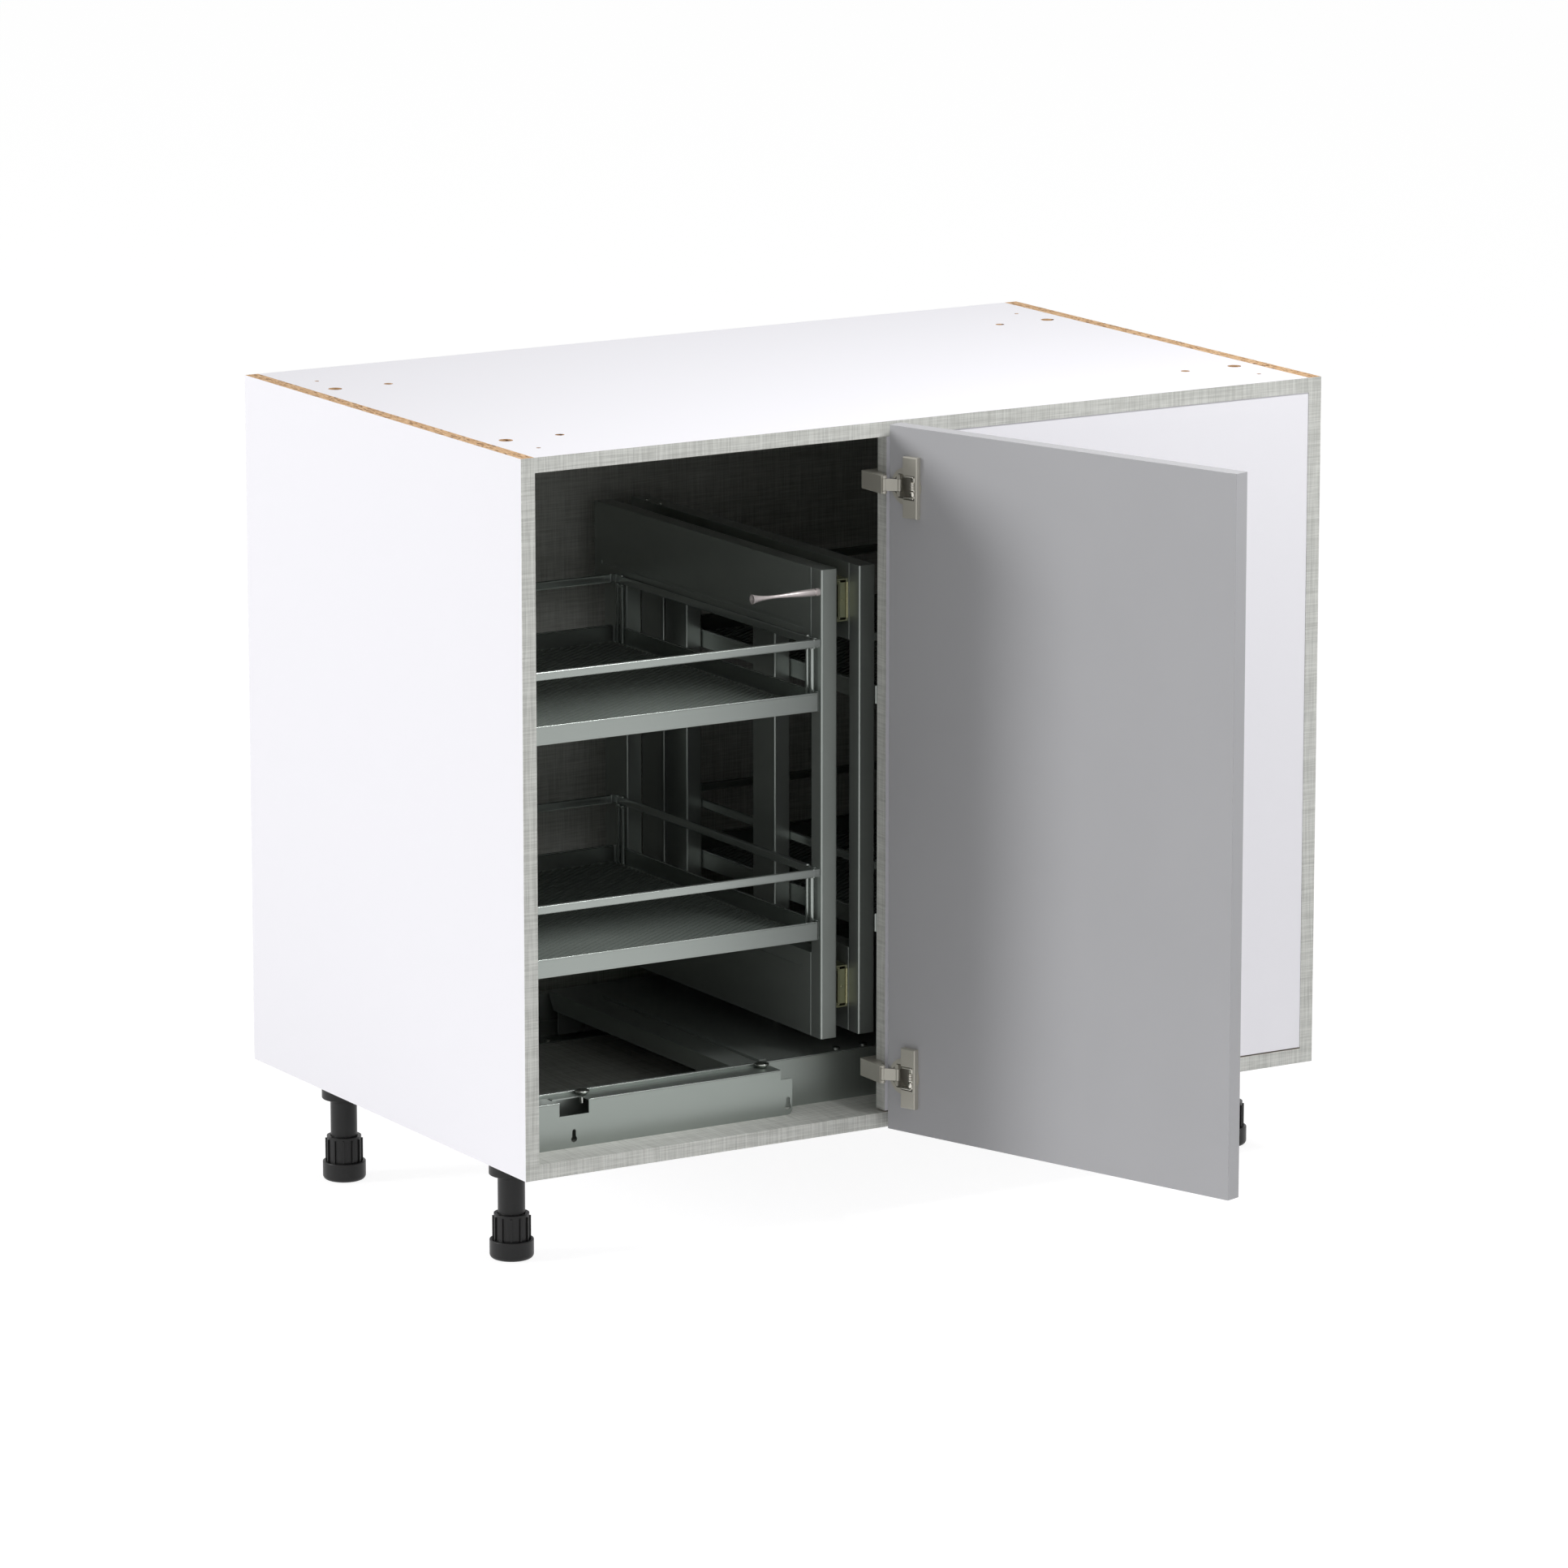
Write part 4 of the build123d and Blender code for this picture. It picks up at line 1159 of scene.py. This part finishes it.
    def fittings(self, node: str) -> BMesh:
        """Make the small fittings of a gallery: rod heads, hook plates and the clips of its rails.

        Args:
            node: The gallery.

        Returns:
            The fittings in the model's frame.
        """
        low, high = (Vector(corner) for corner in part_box(node))
        plans = (
            (self.hook_x, self.hook_y, self.hook_z, self.hook_edge),
            (self.clip_width, self.clip_reach, self.clip_z, self.clip_edge),
            (self.clip_reach, self.clip_width, self.clip_z, self.clip_edge),
        )
        parts = []
        for x, x_turn in ((low.x, 1), (high.x, -1)):
            for y, y_turn in ((low.y, 1), (high.y, -1)):
                head = dome(self.head_diameter, self.head_height, self.head_rim)
                place = (x + x_turn * self.rod_x, y + y_turn * self.rod_y, high.z)
                bmesh.ops.translate(head, vec=place, verts=head.verts)
                parts.append(head)
                for x_steps, y_steps, z_steps, edge in plans:
                    x_ends = sorted(x + x_turn * step for step in x_steps)
                    y_ends = sorted(y + y_turn * step for step in y_steps)
                    z_ends = [high.z + step for step in z_steps]
                    parts.append(rounded_bar(*zip(x_ends, y_ends, z_ends), edge))
        return joined(parts)

    def build(self, shop: Workshop) -> None:
        """Round the edges of the trays and galleries, add their fittings and lay the ribbed mats.

        Args:
            shop: Workshop that dresses the pieces.
        """
        for place in ("front", "rear"):
            for level in ("lower", "upper"):
                tray, gallery = f"{place}_tray_{level}", f"{place}_gallery_{level}"
                shop.soften(tray, Surface.TRAY, self.rim_edge)
                shop.soften(gallery, Surface.GALLERY, self.edge)
                shop.place(f"{gallery}_fittings", self.fittings(gallery), Surface.GALLERY, gallery)
                bars = self.border(gallery, 0.0, self.rail_height, self.rail_width, self.rail_proud)
                shop.place(f"{gallery}_bars", bars, Surface.GALLERY, gallery)
                bars = self.border(gallery, self.rim_drop, self.rim_width, self.rim_width, self.rim_proud)
                shop.place(f"{place}_rim_{level}", bars, Surface.GALLERY, tray)
            node = f"{place}_tray_mats"
            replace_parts(shop.place(f"{node}_ribbed", self.mats(node), Surface.MAT, node), node)


@dataclass(frozen=True)
class Lamp:
    """Round soft lamp that looks at the object's middle.

    Attributes:
        heading: Where it stands round the object, in degrees from the front towards the right.
        height: Its height above the horizon in degrees, seen from there.
        strength: Light on a face there that looks at the lamp; one shows a white face as white.
        spread: How large it looks, in degrees.
        away: Its distance.
    """

    name: str
    heading: float
    height: float
    strength: float
    spread: float
    away: float

    def build(self, middle: Point) -> None:
        """Put the lamp in the scene.

        Args:
            middle: Middle of the object, which it looks at.
        """
        light = bpy.data.lights.new(self.name, "AREA")
        light.shape = "DISK"
        light.size = 2 * self.away * math.tan(math.radians(self.spread / 2))
        light.energy = self.strength * (math.pi * self.away) ** 2
        lamp = new_object(self.name, light)
        lamp.rotation_euler = (math.radians(90 - self.height), 0.0, math.radians(self.heading))
        lamp.location = Vector(middle) + lamp.rotation_euler.to_matrix() @ Vector((0.0, 0.0, self.away))


@dataclass
class Studio:
    """Pale floor, soft lamps and the camera.

    A low lamp far off, on the left and a little behind, lights the left side and the open door. A high one
    in front and near lights the top, the front and the inside, and fades towards the feet.
    """

    lamps: tuple[Lamp, ...] = (
        Lamp("key_left", heading=-107, height=15, strength=0.485, spread=12, away=9.0),
        Lamp("key_front", heading=20, height=53, strength=0.56, spread=16, away=2.7),
    )
    floor_size: float = 30.0
    middle: Point = (0.0, 0.0, 0.44)
    camera_place: Point = (-4.50932, -7.47218, 2.32655)
    turn: float = math.radians(31.119)
    tilt: float = math.radians(12.307)
    lens: float = 187.77
    sensor: float = 36.0
    ambient: float = 0.38
    floor_shade: float = 0.25
    floor_glow: float = 0.89
    floor_bounce: float = 0.85

    def seen(self, tree: Tree) -> Socket:
        """Return one for the rays of the camera, of reflections and of glass.

        Args:
            tree: Node tree that asks.

        Returns:
            Output socket of the mask.
        """
        path = add_node(tree, "ShaderNodeLightPath")
        total = path.outputs["Is Camera Ray"]
        for kind in ("Is Glossy Ray", "Is Transmission Ray"):
            inputs = {0: total, 1: path.outputs[kind]}
            total = add_node(tree, "ShaderNodeMath", inputs, operation="MAXIMUM").outputs[0]
        return total

    def world(self) -> None:
        """Make the world white to look at, and dimmer as a source of light."""
        world = bpy.data.worlds.new("studio")
        bpy.context.scene.world = world
        world.use_nodes = True
        tree = world.node_tree
        tree.nodes.clear()
        inputs = {"Value": self.seen(tree), "To Min": self.ambient, "To Max": 1.0}
        strength = add_node(tree, "ShaderNodeMapRange", inputs).outputs[0]
        light = add_node(tree, "ShaderNodeBackground", {"Color": linear(WHITE), "Strength": strength})
        add_node(tree, "ShaderNodeOutputWorld", {"Surface": light.outputs[0]})

    def floor(self) -> None:
        """Make a floor that looks white, takes the shadow and throws back part of the light."""
        material, tree = new_material("studio_floor")
        seen = self.seen(tree)
        inputs = {"Value": seen, "To Min": self.floor_bounce, "To Max": self.floor_shade}
        shade = add_node(tree, "ShaderNodeMapRange", inputs)
        matt = add_node(tree, "ShaderNodeBsdfDiffuse", {"Color": shade.outputs[0]})
        glow = add_node(tree, "ShaderNodeMath", {0: seen, 1: self.floor_glow}, operation="MULTIPLY")
        light = add_node(tree, "ShaderNodeEmission", {"Color": linear(WHITE), "Strength": glow.outputs[0]})
        both = add_node(tree, "ShaderNodeAddShader", {0: matt.outputs[0], 1: light.outputs[0]})
        add_node(tree, "ShaderNodeOutputMaterial", {"Surface": both.outputs[0]})
        bm = bmesh.new()
        bmesh.ops.create_grid(bm, x_segments=1, y_segments=1, size=self.floor_size)
        mesh = mesh_of(bm, "floor")
        mesh.materials.append(material)
        floor = new_object("floor", mesh)

    def camera(self) -> None:
        """Put the camera at the photograph's view."""
        data = bpy.data.cameras.new("camera")
        data.lens = self.lens
        data.sensor_width = self.sensor
        data.sensor_fit = "HORIZONTAL"
        camera = new_object("camera", data)
        camera.location = self.camera_place
        camera.rotation_euler = (math.pi / 2 - self.tilt, 0.0, -self.turn)
        bpy.context.scene.camera = camera

    def build(self) -> None:
        """Set up the whole studio."""
        bpy.context.scene.view_settings.view_transform = "Standard"
        self.world()
        self.floor()
        for lamp in self.lamps:
            lamp.build(self.middle)
        self.camera()


def main() -> None:
    """Build the whole scene."""
    logging.basicConfig(level=logging.INFO, format="%(message)s")
    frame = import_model()
    shop = Workshop(frame, finishes())
    for assembly in (Carcass(), Legs(), Door(), BaseFrame(), Frames(), Runners(), Trays()):
        assembly.build(shop)
    Studio().build()


if __name__ == "__main__":
    main()
